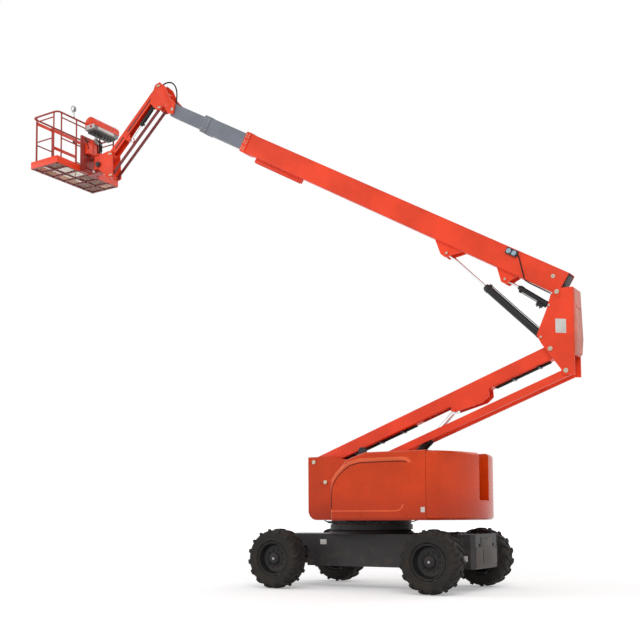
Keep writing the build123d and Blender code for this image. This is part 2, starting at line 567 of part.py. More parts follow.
# name, base pin, length between pins, angle, barrel radius, barrel length, rod radius, eye radius,
# eye half width, pin radius
CYLINDERS = [
    ("riser_cylinder", RISER_CYL_BASE, RISER_CYL_LENGTH, RISER_CYL_ANGLE, 66, 1620, 36, 64, 60, RISER_PIN_RADIUS),
    ("lift_cylinder", LIFT_BASE, LIFT_LENGTH, LIFT_ANGLE, 62, 1330, 28, 34, 50, PIN_RADIUS - 5),
    ("level_cylinder", LEVEL_BASE, LEVEL_LENGTH, LEVEL_ANGLE, 40, 640, 20, 38, 36, PIN_RADIUS - 5),
    ("jib_cylinder", JIB_CYL_BASE, JIB_CYL_LENGTH, JIB_CYL_ANGLE, 42, 560, 22, 42, 34, PIN_RADIUS - 5),
]
for cyl_name, base, length, angle, barrel_r, barrel_len, rod_r, eye_r, eye_half, pin_r in CYLINDERS:
    with BuildPart() as barrel:
        with BuildSketch(across(base, angle, eye_r - 10)) as shell:
            Circle(barrel_r)
        extrude(shell.sketch, amount=barrel_len - eye_r + 10)
        with BuildSketch(across(base, angle, barrel_len)) as gland:
            Circle(barrel_r * 0.86)
        extrude(gland.sketch, amount=25)
        disc(base, eye_r, eye_half, 2 * eye_half)
        disc(base, pin_r + PIN_CLEAR, eye_half + 1, 2 * eye_half + 2, mode=Mode.SUBTRACT)
        with BuildSketch(across(base, angle, eye_r + 60)) as bore:
            Circle(rod_r + PIN_CLEAR)
        extrude(bore.sketch, amount=barrel_len, mode=Mode.SUBTRACT)
    save(barrel.part, f"{cyl_name}_barrel")
    with BuildPart() as rod:
        with BuildSketch(across(base, angle, barrel_len - 170)) as shaft:
            Circle(rod_r)
        extrude(shaft.sketch, amount=length - barrel_len + 170 - eye_r / 2)
        eye = point_on(base, angle, (length, 0))
        disc(eye, eye_r, eye_half - 4, 2 * eye_half - 8)
        disc(eye, pin_r, eye_half, 2 * eye_half, mode=Mode.SUBTRACT)
    save(rod.part, f"{cyl_name}_rod")

# ---------------------------------------------------------------- upright
PLATE_OUTER = UPRIGHT_INNER + UPRIGHT_PLATE
UPRIGHT_OUTLINE = [
    (-3389, 4721), (-3617, 4715), (-3617, 3351), (-3440, 3365), (-3402, 3460), (-3112, 3873), (-3034, 4021),
    (-3204, 4424), (-3269, 4636),
]
with BuildPart() as upright:
    for y_left in (PLATE_OUTER, -UPRIGHT_INNER):
        slab(UPRIGHT_OUTLINE, y_left, UPRIGHT_PLATE)
    for pin, radius in ((RISER_TOP_PIN, RISER_PIN_RADIUS), (LINK_TOP_PIN, RISER_PIN_RADIUS),
                        (BOOM_PIVOT, RISER_PIN_RADIUS), (LIFT_BASE, PIN_RADIUS - 5), (LEVEL_BASE, PIN_RADIUS - 5)):
        through_pin(pin, radius, PLATE_OUTER + PIN_HEAD)
    block(-3617, -3602, -UPRIGHT_INNER, UPRIGHT_INNER, 3660, 4560)
save(upright.part, "upright")

with BuildPart() as upright_cover:
    slab([(-3617.3, 4712), (-3640, 4690), (-3668, 3930), (-3650, 3700), (-3617.3, 3670)], UPRIGHT_INNER,
         2 * UPRIGHT_INNER)
save(upright_cover.part, "upright_cover")

# ---------------------------------------------------------------- main boom
with BuildPart() as boom_base:
    tube(BOOM_PIVOT, BOOM_ANGLE, BASE_TAIL, BASE_LENGTH, BASE_WIDTH, BASE_DEPTH, BOOM_AXIS, TUBE_WALL)
    with BuildSketch(across(BOOM_PIVOT, BOOM_ANGLE, BASE_LENGTH - 130)) as collar:
        with Locations((0, BOOM_AXIS)):
            RectangleRounded(BASE_WIDTH + 24, BASE_DEPTH + 24, TUBE_CORNER + 12)
            RectangleRounded(MID_WIDTH + 2 * SEAT, MID_DEPTH + 2 * SEAT, TUBE_CORNER + SEAT, mode=Mode.SUBTRACT)
    extrude(collar.sketch, amount=130)
    disc(BOOM_PIVOT, RISER_PIN_RADIUS + 24, BASE_WIDTH / 2, BASE_WIDTH)
    disc(BOOM_PIVOT, RISER_PIN_RADIUS + PIN_CLEAR, BASE_WIDTH / 2 + 1, BASE_WIDTH + 2, mode=Mode.SUBTRACT)
    for outline, pin in (
            (((1797, -20), (2057, -235), (2160, -215), (2397, -20)), LIFT_PIN),
            (((740, -20), (860, -215), (945, -215), (1146, -20)), LEVEL_PIN)):
        for y_left in (PLATE_OUTER - 75, -PLATE_OUTER + 93):
            slab([point_on(BOOM_PIVOT, BOOM_ANGLE, q) for q in outline], y_left, 18)
        for y_left in (PLATE_OUTER - 61, -PLATE_OUTER + 75):
            disc(pin, PIN_RADIUS + 10, y_left, 14)
    # hose tray slung under the front of the tube
    with BuildSketch(arm(BOOM_PIVOT, BOOM_ANGLE, 60)) as tray:
        with Locations(((5500 + 6650) / 2, -75)):
            Rectangle(6650 - 5500, 80)
    extrude(tray.sketch, amount=120)
save(boom_base.part, "boom_base")

with BuildPart() as boom_mid:
    tube(BOOM_PIVOT, BOOM_ANGLE, 1750, MID_OUT, MID_WIDTH, MID_DEPTH, BOOM_AXIS, TUBE_WALL)
    with BuildSketch(across(BOOM_PIVOT, BOOM_ANGLE, MID_OUT - 170)) as ring:
        with Locations((0, BOOM_AXIS)):
            RectangleRounded(MID_WIDTH + 20, MID_DEPTH + 20, TUBE_CORNER + 10)
            RectangleRounded(FLY_WIDTH + 2 * SEAT, FLY_DEPTH + 2 * SEAT, TUBE_CORNER + SEAT, mode=Mode.SUBTRACT)
    extrude(ring.sketch, amount=170)
save(boom_mid.part, "boom_mid")

HEAD_ON_BOOM = (
    (HEAD_PIN[0] - BOOM_PIVOT[0]) * cos(radians(BOOM_ANGLE)) + (HEAD_PIN[1] - BOOM_PIVOT[1]) * sin(radians(BOOM_ANGLE)),
    -(HEAD_PIN[0] - BOOM_PIVOT[0]) * sin(radians(BOOM_ANGLE)) + (HEAD_PIN[1] - BOOM_PIVOT[1]) * cos(radians(BOOM_ANGLE)),
)
with BuildPart() as boom_fly:
    tube(BOOM_PIVOT, BOOM_ANGLE, 3200, FLY_OUT, FLY_WIDTH, FLY_DEPTH, BOOM_AXIS, TUBE_WALL)
    for y_left in (FLY_WIDTH / 2, -FLY_WIDTH / 2 + 20):
        slab([point_on(BOOM_PIVOT, BOOM_ANGLE, q) for q in (
            (FLY_OUT - 60, BOOM_AXIS - 110), (FLY_OUT - 60, BOOM_AXIS + 110),
            (HEAD_ON_BOOM[0] + 40, HEAD_ON_BOOM[1] + 50), (HEAD_ON_BOOM[0] + 40, HEAD_ON_BOOM[1] - 50))], y_left, 20)
    disc(HEAD_PIN, RISER_PIN_RADIUS, HEAD_INNER + 5, 2 * HEAD_INNER + 10)
save(boom_fly.part, "boom_fly")

# ---------------------------------------------------------------- levelled bracket, jib and link
JIB_LINK_TOP = shifted(JIB_TOP_PIN, JIB_LINK_SHIFT)
JIB_LINK_LOW = shifted(JIB_LOW_PIN, JIB_LINK_SHIFT)
HEAD_OUTER = HEAD_INNER + HEAD_PLATE
with BuildPart() as jib_bracket:
    for y_left in (HEAD_OUTER, -HEAD_INNER):
        slab([(4578, 9950), (4456, 9700), (4310, 9545), (4360, 9330), (4500, 9370), (4620, 9560), (4700, 9500),
              (4800, 9510), (4975, 9700), (4960, 9800), (4840, 10050), (4720, 10080)], y_left, HEAD_PLATE)
    for pin, radius in ((JIB_TOP_PIN, PIN_RADIUS), (JIB_LINK_TOP, PIN_RADIUS - 5)):
        through_pin(pin, radius, HEAD_OUTER + PIN_HEAD)
    for y_left in (HEAD_OUTER + 1, -HEAD_INNER + 1):
        disc(HEAD_PIN, RISER_PIN_RADIUS + PIN_CLEAR, y_left, HEAD_PLATE + 2, mode=Mode.SUBTRACT)
    # the cylinder's base sits between two inner plates, carried by a cross tube behind the sweep of the arms
    disc(HEAD_CROSS, 35, HEAD_INNER + 5, 2 * HEAD_INNER + 10)
    for y_left in (JIB_CYL_PLATE, -JIB_CYL_PLATE + 20):
        slab([(HEAD_CROSS[0], HEAD_CROSS[1] + 34), (HEAD_CROSS[0], HEAD_CROSS[1] - 34),
              (JIB_CYL_BASE[0] - 10, JIB_CYL_BASE[1] - 38), (JIB_CYL_BASE[0] + 34, JIB_CYL_BASE[1]),
              (JIB_CYL_BASE[0], JIB_CYL_BASE[1] + 36)], y_left, 20)
    disc(JIB_CYL_BASE, PIN_RADIUS - 5, JIB_CYL_PLATE, 2 * JIB_CYL_PLATE)
save(jib_bracket.part, "jib_bracket")

JIB_LENGTH, JIB_ANGLE = reach(JIB_TOP_PIN, JIB_LOW_PIN)
with BuildPart() as jib_arm:
    with BuildSketch(across(JIB_TOP_PIN, JIB_ANGLE, -60)) as channel:
        with Locations((0, 20)):
            Rectangle(2 * JIB_HALF_WIDTH, JIB_DEPTH)
        with Locations((0, 20 - JIB_WALL)):
            Rectangle(2 * (JIB_HALF_WIDTH - JIB_WALL), JIB_DEPTH, mode=Mode.SUBTRACT)
    extrude(channel.sketch, amount=JIB_LENGTH + 120)
    for pin in (JIB_TOP_PIN, JIB_LOW_PIN):
        disc(pin, PIN_RADIUS + 16, JIB_HALF_WIDTH + 20, 2 * JIB_HALF_WIDTH + 40)
        disc(pin, PIN_RADIUS + PIN_CLEAR, JIB_HALF_WIDTH + 21, 2 * JIB_HALF_WIDTH + 42, mode=Mode.SUBTRACT)
    for y_left in (JIB_HALF_WIDTH - JIB_WALL, -JIB_HALF_WIDTH + JIB_WALL + 18):
        slab([point_on(JIB_CYL_EYE, JIB_ANGLE, q) for q in ((-90, 90), (-28, -28), (28, -28), (70, 90))], y_left, 18)
save(jib_arm.part, "jib_arm")

with BuildPart() as jib_link:
    for y_left in (JIB_HALF_WIDTH + 20, -JIB_HALF_WIDTH):
        with BuildSketch(arm(JIB_LINK_TOP, JIB_ANGLE, y_left)) as bar:
            with Locations((JIB_LENGTH / 2, 0)):
                RectangleRounded(JIB_LENGTH + 80, 64, 30)
            with Locations((0, 0), (JIB_LENGTH, 0)):
                Circle(PIN_RADIUS - 5 + PIN_CLEAR, mode=Mode.SUBTRACT)
        extrude(bar.sketch, amount=20)
save(jib_link.part, "jib_link")

# ---------------------------------------------------------------- platform
SUPPORT_FACE = PLATFORM_REAR - RAIL_TUBE - 5
ROTATOR_LOW = 8560.0
ROTATOR_HIGH = 8960.0
with BuildPart() as platform_bracket:
    for y_left in (HEAD_OUTER, -HEAD_INNER):
        slab([(6030, 8920), (5990, 8380), (6120, 8350), (6400, 8600), (6400, 8900), (6140, 8940)], y_left,
             HEAD_PLATE)
    for pin, radius in ((JIB_LOW_PIN, PIN_RADIUS), (JIB_LINK_LOW, PIN_RADIUS - 5)):
        through_pin(pin, radius, HEAD_OUTER + PIN_HEAD)
    with BuildSketch(Plane.XY.offset(ROTATOR_LOW + 60)):
        with Locations((ROTATOR_X, 0)):
            Circle(ROTATOR_RADIUS + 25)
            Circle(40 + PIN_CLEAR, mode=Mode.SUBTRACT)
    extrude(amount=ROTATOR_HIGH - ROTATOR_LOW - 120)
    block(6330, 6360, -HEAD_INNER, HEAD_INNER, 8620, 8880)
save(platform_bracket.part, "platform_bracket")

with BuildPart() as platform_support:
    for z0 in (ROTATOR_LOW, ROTATOR_HIGH - 55):
        block(ROTATOR_X - 70, SUPPORT_FACE - 40, -70, 70, z0, z0 + 55)
    with BuildSketch(Plane.XY.offset(ROTATOR_LOW)):
        with Locations((ROTATOR_X, 0)):
            Circle(40)
    extrude(amount=ROTATOR_HIGH - ROTATOR_LOW)
    block(SUPPORT_FACE - 48, SUPPORT_FACE, -260, 260, FLOOR_Z, FLOOR_Z + 790)
save(platform_support.part, "platform_support")

PLATFORM_FRONT = PLATFORM_REAR + PLATFORM_DEPTH
FLOOR_REAR = SUPPORT_FACE
HALF_SPAN = PLATFORM_WIDTH / 2
MID_RAIL = FLOOR_Z + 560
with BuildPart() as platform_floor:
    block(FLOOR_REAR, PLATFORM_FRONT, -HALF_SPAN, HALF_SPAN, FLOOR_Z, FLOOR_Z + 30)
    block(FLOOR_REAR, FLOOR_REAR + 4, -HALF_SPAN, HALF_SPAN, FLOOR_Z + 30, FLOOR_Z + TOE_HEIGHT)
    block(PLATFORM_FRONT - 4, PLATFORM_FRONT, -HALF_SPAN, HALF_SPAN, FLOOR_Z + 30, FLOOR_Z + TOE_HEIGHT)
    for y0 in (-HALF_SPAN, HALF_SPAN - 4):
        block(FLOOR_REAR, PLATFORM_FRONT, y0, y0 + 4, FLOOR_Z + 30, FLOOR_Z + TOE_HEIGHT)
save(platform_floor.part, "platform_floor")

RAIL_BOX = (PLATFORM_REAR, PLATFORM_FRONT - 24, -HALF_SPAN + 24, HALF_SPAN - 24)
RAIL_BEND = 90.0
RAIL_FOOT = FLOOR_Z + 30 + SEAT
TOP_RAIL = RAIL_TOP - RAIL_TUBE
LOWER_RAIL = TOP_RAIL - 105.0
POST_RADIUS = 16.0
GATE_POST_Y = 350.0
BAND_Z = RAIL_TOP - 130.0
BAND_HEIGHT = 70.0
BAND_THICK = 8.0


TUBE_SIDES = 8


def run_of_tube(start, end, radius):
    """A straight tube between two points, drawn with few sides."""
    path = Vector(*end) - Vector(*start)
    with BuildSketch(Plane(origin=start, z_dir=path)) as section:
        RegularPolygon(radius, TUBE_SIDES)
    extrude(section.sketch, amount=path.length)


def bend_of_tube(middle, heading, bend, radius):
    """A quarter turn of level tube about an upright axis through the middle."""
    a = radians(heading)
    start = (middle[0] + bend * cos(a), middle[1] + bend * sin(a), middle[2])
    with BuildSketch(Plane(origin=start, z_dir=(-sin(a), cos(a), 0))) as section:
        RegularPolygon(radius, TUBE_SIDES)
    revolve(section.sketch, axis=Axis(middle, (0, 0, 1)), revolution_arc=90)


with BuildPart() as platform_rails:
    x0, x1, y0, y1 = RAIL_BOX
    # top rail: one level loop with bent corners
    for x in (x0, x1):
        run_of_tube((x, y0 + RAIL_BEND, TOP_RAIL), (x, y1 - RAIL_BEND, TOP_RAIL), RAIL_TUBE)
    for y in (y0, y1):
        run_of_tube((x0 + RAIL_BEND, y, TOP_RAIL), (x1 - RAIL_BEND, y, TOP_RAIL), RAIL_TUBE)
    for x, y, turn in ((x1 - RAIL_BEND, y1 - RAIL_BEND, 0), (x0 + RAIL_BEND, y1 - RAIL_BEND, 90),
                       (x0 + RAIL_BEND, y0 + RAIL_BEND, 180), (x1 - RAIL_BEND, y0 + RAIL_BEND, 270)):
        bend_of_tube((x, y, TOP_RAIL), turn, RAIL_BEND, RAIL_TUBE)
    # posts stand in from the bent corners, with a pair each side of the gate
    corner_in = RAIL_BEND + POST_RADIUS + 4
    for x in (x0, x1):
        for y in (y0 + corner_in, -GATE_POST_Y, GATE_POST_Y, y1 - corner_in):
            run_of_tube((x, y, RAIL_FOOT), (x, y, TOP_RAIL), POST_RADIUS)
    for y in (y0, y1):
        for x in (x0 + corner_in, x1 - corner_in):
            run_of_tube((x, y, RAIL_FOOT), (x, y, TOP_RAIL), POST_RADIUS)
    # mid rails and the second rail under the top, straight between posts
    for z in (MID_RAIL, LOWER_RAIL):
        run_of_tube((x0, y0 + corner_in, z), (x0, y1 - corner_in, z), POST_RADIUS - 2)
        for y in (y0, y1):
            run_of_tube((x0 + corner_in, y, z), (x1 - corner_in, y, z), POST_RADIUS - 2)
    for s in (-1, 1):
        y_far = s * (HALF_SPAN - 24 - corner_in)
        run_of_tube((x1, s * GATE_POST_Y, MID_RAIL), (x1, y_far, MID_RAIL), POST_RADIUS - 2)
        y_pair = sorted((s * GATE_POST_Y, y_far))
        block(x1 - BAND_THICK / 2, x1 + BAND_THICK / 2, y_pair[0], y_pair[1], BAND_Z, BAND_Z + BAND_HEIGHT)
save(platform_rails.part, "platform_rails")

# the gate is a flat bar that swings inwards from its post
GATE_PIN = 12.0
GATE_HINGE = (PLATFORM_FRONT - 24 - POST_RADIUS - GATE_PIN - SEAT, GATE_POST_Y)
with BuildPart() as entry_gate:
    for z in (BAND_Z, BAND_Z - 380.0):
        block(GATE_HINGE[0] - BAND_THICK / 2, GATE_HINGE[0] + BAND_THICK / 2, -GATE_POST_Y + POST_RADIUS + 6,
              GATE_HINGE[1], z, z + BAND_HEIGHT)
    for y in (GATE_HINGE[1], -GATE_POST_Y + POST_RADIUS + 6 + GATE_PIN):
        run_of_tube((GATE_HINGE[0], y, BAND_Z - 400.0), (GATE_HINGE[0], y, BAND_Z + BAND_HEIGHT + 10), GATE_PIN)
save(entry_gate.part, "entry_gate")

with BuildPart() as work_lamp:
    lamp = (PLATFORM_REAR, LAMP_Y, RAIL_TOP + SEAT)
    run_of_tube(lamp, (lamp[0], lamp[1], lamp[2] + 120), 12)
    with BuildSketch(side(LAMP_Y + 45)) as shell:
        with Locations((lamp[0], lamp[2] + 190)):
            RectangleRounded(110, 150, 40)
    extrude(shell.sketch, amount=90)
save(work_lamp.part, "work_lamp")

with BuildPart() as control_console:
    console_front = PLATFORM_REAR - POST_RADIUS - SEAT
    block(console_front - 290, console_front, -640, 120, RAIL_TOP - 190, RAIL_TOP - 60)
    with BuildSketch(side(120)) as lid:
        with Locations((console_front - 145, RAIL_TOP - 60)):
            Circle(145)
            with Locations((0, -100)):
                Rectangle(400, 200, mode=Mode.SUBTRACT)
    extrude(lid.sketch, amount=760)
save(control_console.part, "control_console")
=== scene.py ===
"""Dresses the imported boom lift: wheels, panels, pins, bolts, hoses and finishes, with its stage and camera.

Metres.  +X is the way the main boom points, +Y the machine's left and +Z up.
"""
import json
from math import atan2, cos, hypot, pi, radians, sin, tan

import bmesh
import bpy
from mathutils import Matrix, Vector


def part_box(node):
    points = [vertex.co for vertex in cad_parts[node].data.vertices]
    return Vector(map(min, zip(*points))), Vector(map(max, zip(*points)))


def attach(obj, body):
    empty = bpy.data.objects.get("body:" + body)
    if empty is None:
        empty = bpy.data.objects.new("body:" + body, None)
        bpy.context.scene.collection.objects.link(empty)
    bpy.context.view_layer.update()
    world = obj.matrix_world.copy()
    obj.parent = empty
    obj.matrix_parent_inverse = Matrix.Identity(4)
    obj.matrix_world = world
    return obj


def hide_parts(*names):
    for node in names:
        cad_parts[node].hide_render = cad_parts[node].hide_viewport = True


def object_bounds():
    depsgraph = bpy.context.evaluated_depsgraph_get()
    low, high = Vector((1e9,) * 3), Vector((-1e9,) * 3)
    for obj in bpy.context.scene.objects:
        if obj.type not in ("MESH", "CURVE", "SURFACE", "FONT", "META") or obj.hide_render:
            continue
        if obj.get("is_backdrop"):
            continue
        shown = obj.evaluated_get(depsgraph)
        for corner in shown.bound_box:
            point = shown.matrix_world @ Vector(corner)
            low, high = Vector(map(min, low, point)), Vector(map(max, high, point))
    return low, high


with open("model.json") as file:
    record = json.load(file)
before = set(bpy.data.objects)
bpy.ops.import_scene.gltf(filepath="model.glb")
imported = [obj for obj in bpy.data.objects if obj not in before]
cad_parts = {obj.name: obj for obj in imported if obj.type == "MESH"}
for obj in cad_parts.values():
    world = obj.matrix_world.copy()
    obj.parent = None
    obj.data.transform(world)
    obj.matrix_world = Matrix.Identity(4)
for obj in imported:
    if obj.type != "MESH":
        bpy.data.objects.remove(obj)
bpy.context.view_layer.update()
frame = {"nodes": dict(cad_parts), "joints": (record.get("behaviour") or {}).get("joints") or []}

bl_info = {
    "name": "Boom Lift Dressing",
    "version": (1, 0, 0),
    "blender": (4, 5, 0),
    "location": "View3D > Sidebar > Boom Lift",
    "description": "Builds the visible detail and the finishes of an articulating boom lift",
    "category": "Object",
}

JOINTS = {joint["name"]: joint for joint in frame["joints"]}


def pin(name):
    """Where a hinge stands, in the shared frame."""
    return Vector(JOINTS[name]["pos_m"])


# ---------------------------------------------------------------- settings
class LiftColours(bpy.types.PropertyGroup):
    """Paint and finish colours, as linear values."""

    def tone(label, text, value):
        return bpy.props.FloatVectorProperty(
            name=label, description=text, default=value, size=3, min=0.0, max=1.0, subtype="COLOR")

    boom: tone("Boom", "Orange-red paint of the booms and plates", (0.86, 0.062, 0.020))
    hood: tone("Hood", "Orange paint of the hoods and counterweight", (0.64, 0.050, 0.004))
    # Painted shade: the darker orange that the hoods' paint turns to towards their bottom.
    hood_painted_shade: tone("Hood Base", "Rust-brown that the hoods shade to at the bottom", (0.46, 0.034, 0.004))
    # Painted highlight: a lighter orange laid along the hoods' shoulders and lower lips.
    hood_painted_highlight: tone("Hood Highlights", "Bleached paint along the hoods' shoulders", (0.80, 0.125, 0.040))
    chassis: tone("Chassis", "Dark grey paint of the chassis", (0.043, 0.040, 0.041))
    telescope: tone("Telescope", "Slate grey of the sliding sections", (0.185, 0.197, 0.232))
    maroon: tone("Maroon", "Dark red of the platform floor and links", (0.190, 0.026, 0.026))
    rail: tone("Rail", "Red of the platform's rails and column", (0.36, 0.045, 0.035))
    black: tone("Black Paint", "Paint of the cylinders and rims", (0.018, 0.017, 0.018))
    rubber: tone("Rubber", "Tyres and hoses", (0.021, 0.019, 0.018))
    dust: tone("Dust", "Dry dirt on the tyres and chassis", (0.115, 0.088, 0.066))
    plate: tone("Blank Plate", "Bare pale plates", (0.62, 0.59, 0.56))
    cover: tone("Rear Cover", "Faded strip behind the upright", (0.62, 0.20, 0.15))
    zinc: tone("Zinc", "Pin heads and bolts", (0.52, 0.47, 0.36))

    del tone


class LiftSizes(bpy.types.PropertyGroup):
    """Sizes of the trim."""

    def size(label, text, value, low, high):
        return bpy.props.FloatProperty(
            name=label, description=text, default=value, min=low, max=high, unit="LENGTH", subtype="DISTANCE")

    lug_height: size("Lug Height", "How far the tread stands above the carcass", 0.026, 0.010, 0.045)
    bolt: size("Bolt Head", "Width across a bolt head", 0.024, 0.010, 0.050)
    hose: size("Hose", "Outside diameter of a hydraulic hose", 0.022, 0.008, 0.040)
    rail: size("Rail Tube", "Diameter of the platform's top rail", 0.038, 0.020, 0.038)
    mesh_pitch: size("Floor Mesh", "Spacing of the bars in the see-through floor", 0.030, 0.015, 0.080)

    lug_count: bpy.props.IntProperty(
        name="Lugs", description="Tread lugs in each row of a tyre", default=16, min=10, max=30)
    del size


# ---------------------------------------------------------------- shader maths
class Value:
    """A shader socket. Arithmetic on it adds the Math nodes."""

    def __init__(self, finish, socket):
        self.finish = finish
        self.socket = socket

    def _maths(self, operation, left, right, clamp=False):
        settings = {"operation": operation, "use_clamp": clamp}
        return self.finish.node("ShaderNodeMath", settings, {0: left, 1: right})

    def __add__(self, other):
        return self._maths("ADD", self, other)

    def __radd__(self, other):
        return self._maths("ADD", other, self)

    def __sub__(self, other):
        return self._maths("SUBTRACT", self, other)

    def __rsub__(self, other):
        return self._maths("SUBTRACT", other, self)

    def __mul__(self, other):
        return self._maths("MULTIPLY", self, other)

    def __rmul__(self, other):
        return self._maths("MULTIPLY", other, self)

    def __truediv__(self, other):
        return self._maths("DIVIDE", self, other)

    def __rtruediv__(self, other):
        return self._maths("DIVIDE", other, self)

    def __pow__(self, other):
        return self._maths("POWER", self, other)

    def clamped(self):
        return self._maths("ADD", self, 0.0, clamp=True)

    def ramp(self, low, high):
        """0 below low, 1 above high, smooth between."""
        return self.finish.node("ShaderNodeMapRange", {"interpolation_type": "SMOOTHSTEP"},
                                {0: self, 1: low, 2: high, 3: 0.0, 4: 1.0})


class Finish:
    """One material, built node by node."""

    def __init__(self, name, holder=None):
        self.material = holder or bpy.data.materials.new(name)
        self.material.use_nodes = True
        self.tree = self.material.node_tree
        self.tree.nodes.clear()
        self.end = self.tree.nodes.new("ShaderNodeOutputWorld" if holder else "ShaderNodeOutputMaterial")
        self.place = self.node("ShaderNodeTexCoord", output="Object")

    def node(self, kind, settings=None, inputs=None, output=0):
        """Adds a node, sets it, then feeds its sockets with numbers, colours or links."""
        made = self.tree.nodes.new(kind)
        for key, value in (settings or {}).items():
            setattr(made, key, value)
        for key, value in (inputs or {}).items():
            if isinstance(value, Value):
                self.tree.links.new(value.socket, made.inputs[key])
            else:
                made.inputs[key].default_value = value
        return Value(self, made.outputs[output])

    def noise(self, scale, detail=3.0, rough=0.55, stretch=None):
        where = self.place
        if stretch:
            where = self.node("ShaderNodeMapping", {}, {"Vector": self.place, "Scale": stretch})
        return self.node("ShaderNodeTexNoise", {},
                         {"Vector": where, "Scale": scale, "Detail": detail, "Roughness": rough})

    def mix(self, share, first, second):
        """One colour over another."""
        first = first if isinstance(first, Value) else (*first, 1.0)
        second = second if isinstance(second, Value) else (*second, 1.0)
        return self.node("ShaderNodeMix", {"data_type": "RGBA"}, {0: share, 6: first, 7: second}, output=2)

    def height(self):
        return self.node("ShaderNodeSeparateXYZ", {}, {0: self.place}, output=2)

    def edges(self, radius):
        """Where the surface turns a corner, from 0 to 1."""
        soft = self.node("ShaderNodeBevel", {"samples": 4}, {"Radius": radius})
        hard = self.node("ShaderNodeNewGeometry", output="Normal")
        alike = self.node("ShaderNodeVectorMath", {"operation": "DOT_PRODUCT"}, {0: soft, 1: hard},
                          output="Value")
        return (1.0 - alike).ramp(0.03, 0.25)

    def seen(self):
        """1 for rays from the camera, from a mirror or through glass, and 0 for light on things."""
        rays = [self.node("ShaderNodeLightPath", output=f"Is {kind} Ray")
                for kind in ("Camera", "Glossy", "Transmission")]
        return (rays[0] + rays[1] + rays[2]).clamped()

    def bump(self, height, strength, distance):
        return self.node("ShaderNodeBump", {}, {"Height": height, "Strength": strength, "Distance": distance})

    def close(self, inputs):
        """Ends the tree in a Principled shader with these sockets."""
        shader = self.node("ShaderNodeBsdfPrincipled", {}, inputs)
        self.tree.links.new(shader.socket, self.end.inputs["Surface"])
        return self.material


def shade(colour, share):
    return tuple(min(1.0, part * share) for part in colour)


def painted(name, colour, rough=0.36, grime=None, grime_height=0.0, base=None, shade_height=(0.0, 0.0),
            chip=0.35):
    """Sprayed paint: a little uneven, worn at the corners, with dirt that gathers low down, and painted shade
    that darkens it towards the bottom where a base colour is given.
    """
    look = Finish(name)
    cloud = look.noise(1.7, 4.0)
    fine = look.noise(38.0, 3.0)
    tone = look.mix(cloud.ramp(0.30, 0.72), shade(colour, 0.86), shade(colour, 1.10))
    height = look.height()
    # Painted shade: the paint darkens to the base colour towards the bottom of the part.
    if base:
        low = 1.0 - (height + cloud * 0.16).ramp(shade_height[0], shade_height[1])
        tone = look.mix(low * 0.85, tone, base)
    edge = look.edges(0.006)
    worn = (edge * look.noise(11.0, 5.0).ramp(0.42, 0.62) * chip).clamped()
    tone = look.mix(worn, tone, shade(colour, 0.42))
    dirt = None
    if grime:
        patch = look.noise(5.5, 6.0, 0.65).ramp(0.45, 0.75)
        dirt = (patch * (1.0 - height.ramp(grime_height * 0.35, grime_height)) * 0.55).clamped()
        tone = look.mix(dirt, tone, grime)
    scuffs = look.noise(9.0, 6.0, 0.7, stretch=(1.0, 1.0, 7.0)).ramp(0.60, 0.78)
    tone = look.mix(scuffs * 0.10, tone, shade(colour, 0.55))
    gloss = fine * 0.10 + scuffs * 0.16 + (rough - 0.08)
    if dirt:
        gloss = gloss + dirt * 0.35
    bumps = look.noise(150.0, 2.0) * 0.6 + fine * 0.4
    return look.close({"Base Color": tone, "Roughness": gloss.clamped(), "Metallic": 0.0,
                       "Specular IOR Level": 0.24, "Coat Weight": 0.05, "Coat Roughness": 0.16,
                       "Normal": look.bump(bumps, 0.07, 0.0012)})


def rubber(name, colour, dust, share):
    """Black rubber, dusty in the hollows."""
    look = Finish(name)
    patch = look.noise(7.0, 6.0, 0.65).ramp(0.40, 0.70)
    speck = look.noise(90.0, 3.0)
    tone = look.mix(patch * share, colour, dust)
    tone = look.mix(speck.ramp(0.55, 0.75) * 0.18, tone, shade(dust, 1.2))
    return look.close({"Base Color": tone, "Roughness": (0.72 + patch * 0.2).clamped(),
                       "Specular IOR Level": 0.20,
                       "Normal": look.bump(speck + look.noise(24.0), 0.35, 0.0035)})


def bright_metal(name, colour, rough, streak=(1.0, 1.0, 1.0), tarnish=0.3):
    """Bare or plated metal with turning marks and a slight tarnish."""
    look = Finish(name)
    marks = look.noise(60.0, 3.0, 0.5, stretch=streak)
    cloud = look.noise(6.0, 4.0).ramp(0.42, 0.72)
    tone = look.mix(cloud * tarnish, colour, shade(colour, 0.55))
    return look.close({"Base Color": tone, "Metallic": 1.0,
                       "Roughness": (rough + marks * 0.12 + cloud * 0.10).clamped(),
                       "Normal": look.bump(marks, 0.08, 0.0008)})


def moulded(name, colour, rough=0.5, grain=260.0):
    """Moulded plastic with a fine grain, and a painted highlight along its edges."""
    look = Finish(name)
    speck = look.noise(grain, 2.0)
    cloud = look.noise(3.0, 4.0)
    tone = look.mix(cloud.ramp(0.3, 0.7), shade(colour, 0.82), shade(colour, 1.15))
    edge = look.edges(0.003)
    # Painted highlight: every edge is lightened towards twice the plastic's colour.
    tone = look.mix(edge * 0.22, tone, shade(colour, 2.0))
    return look.close({"Base Color": tone, "Roughness": (speck * 0.16 + (rough - 0.06)).clamped(),
                       "Specular IOR Level": 0.40, "Normal": look.bump(speck, 0.22, 0.0010)})


def lens_glass(name, colour):
    """Ribbed lamp glass with a bright reflector behind it."""
    look = Finish(name)
    ribs = look.node("ShaderNodeTexWave", {"wave_type": "BANDS", "bands_direction": "Z"},
                     {"Vector": look.place, "Scale": 55.0, "Distortion": 0.4})
    tone = look.mix(ribs * 0.5, colour, shade(colour, 0.6))
    return look.close({"Base Color": tone, "Roughness": 0.08, "Metallic": 0.35, "Coat Weight": 0.8,
                       "Normal": look.bump(ribs, 0.25, 0.0020)})


LOOKS = {}


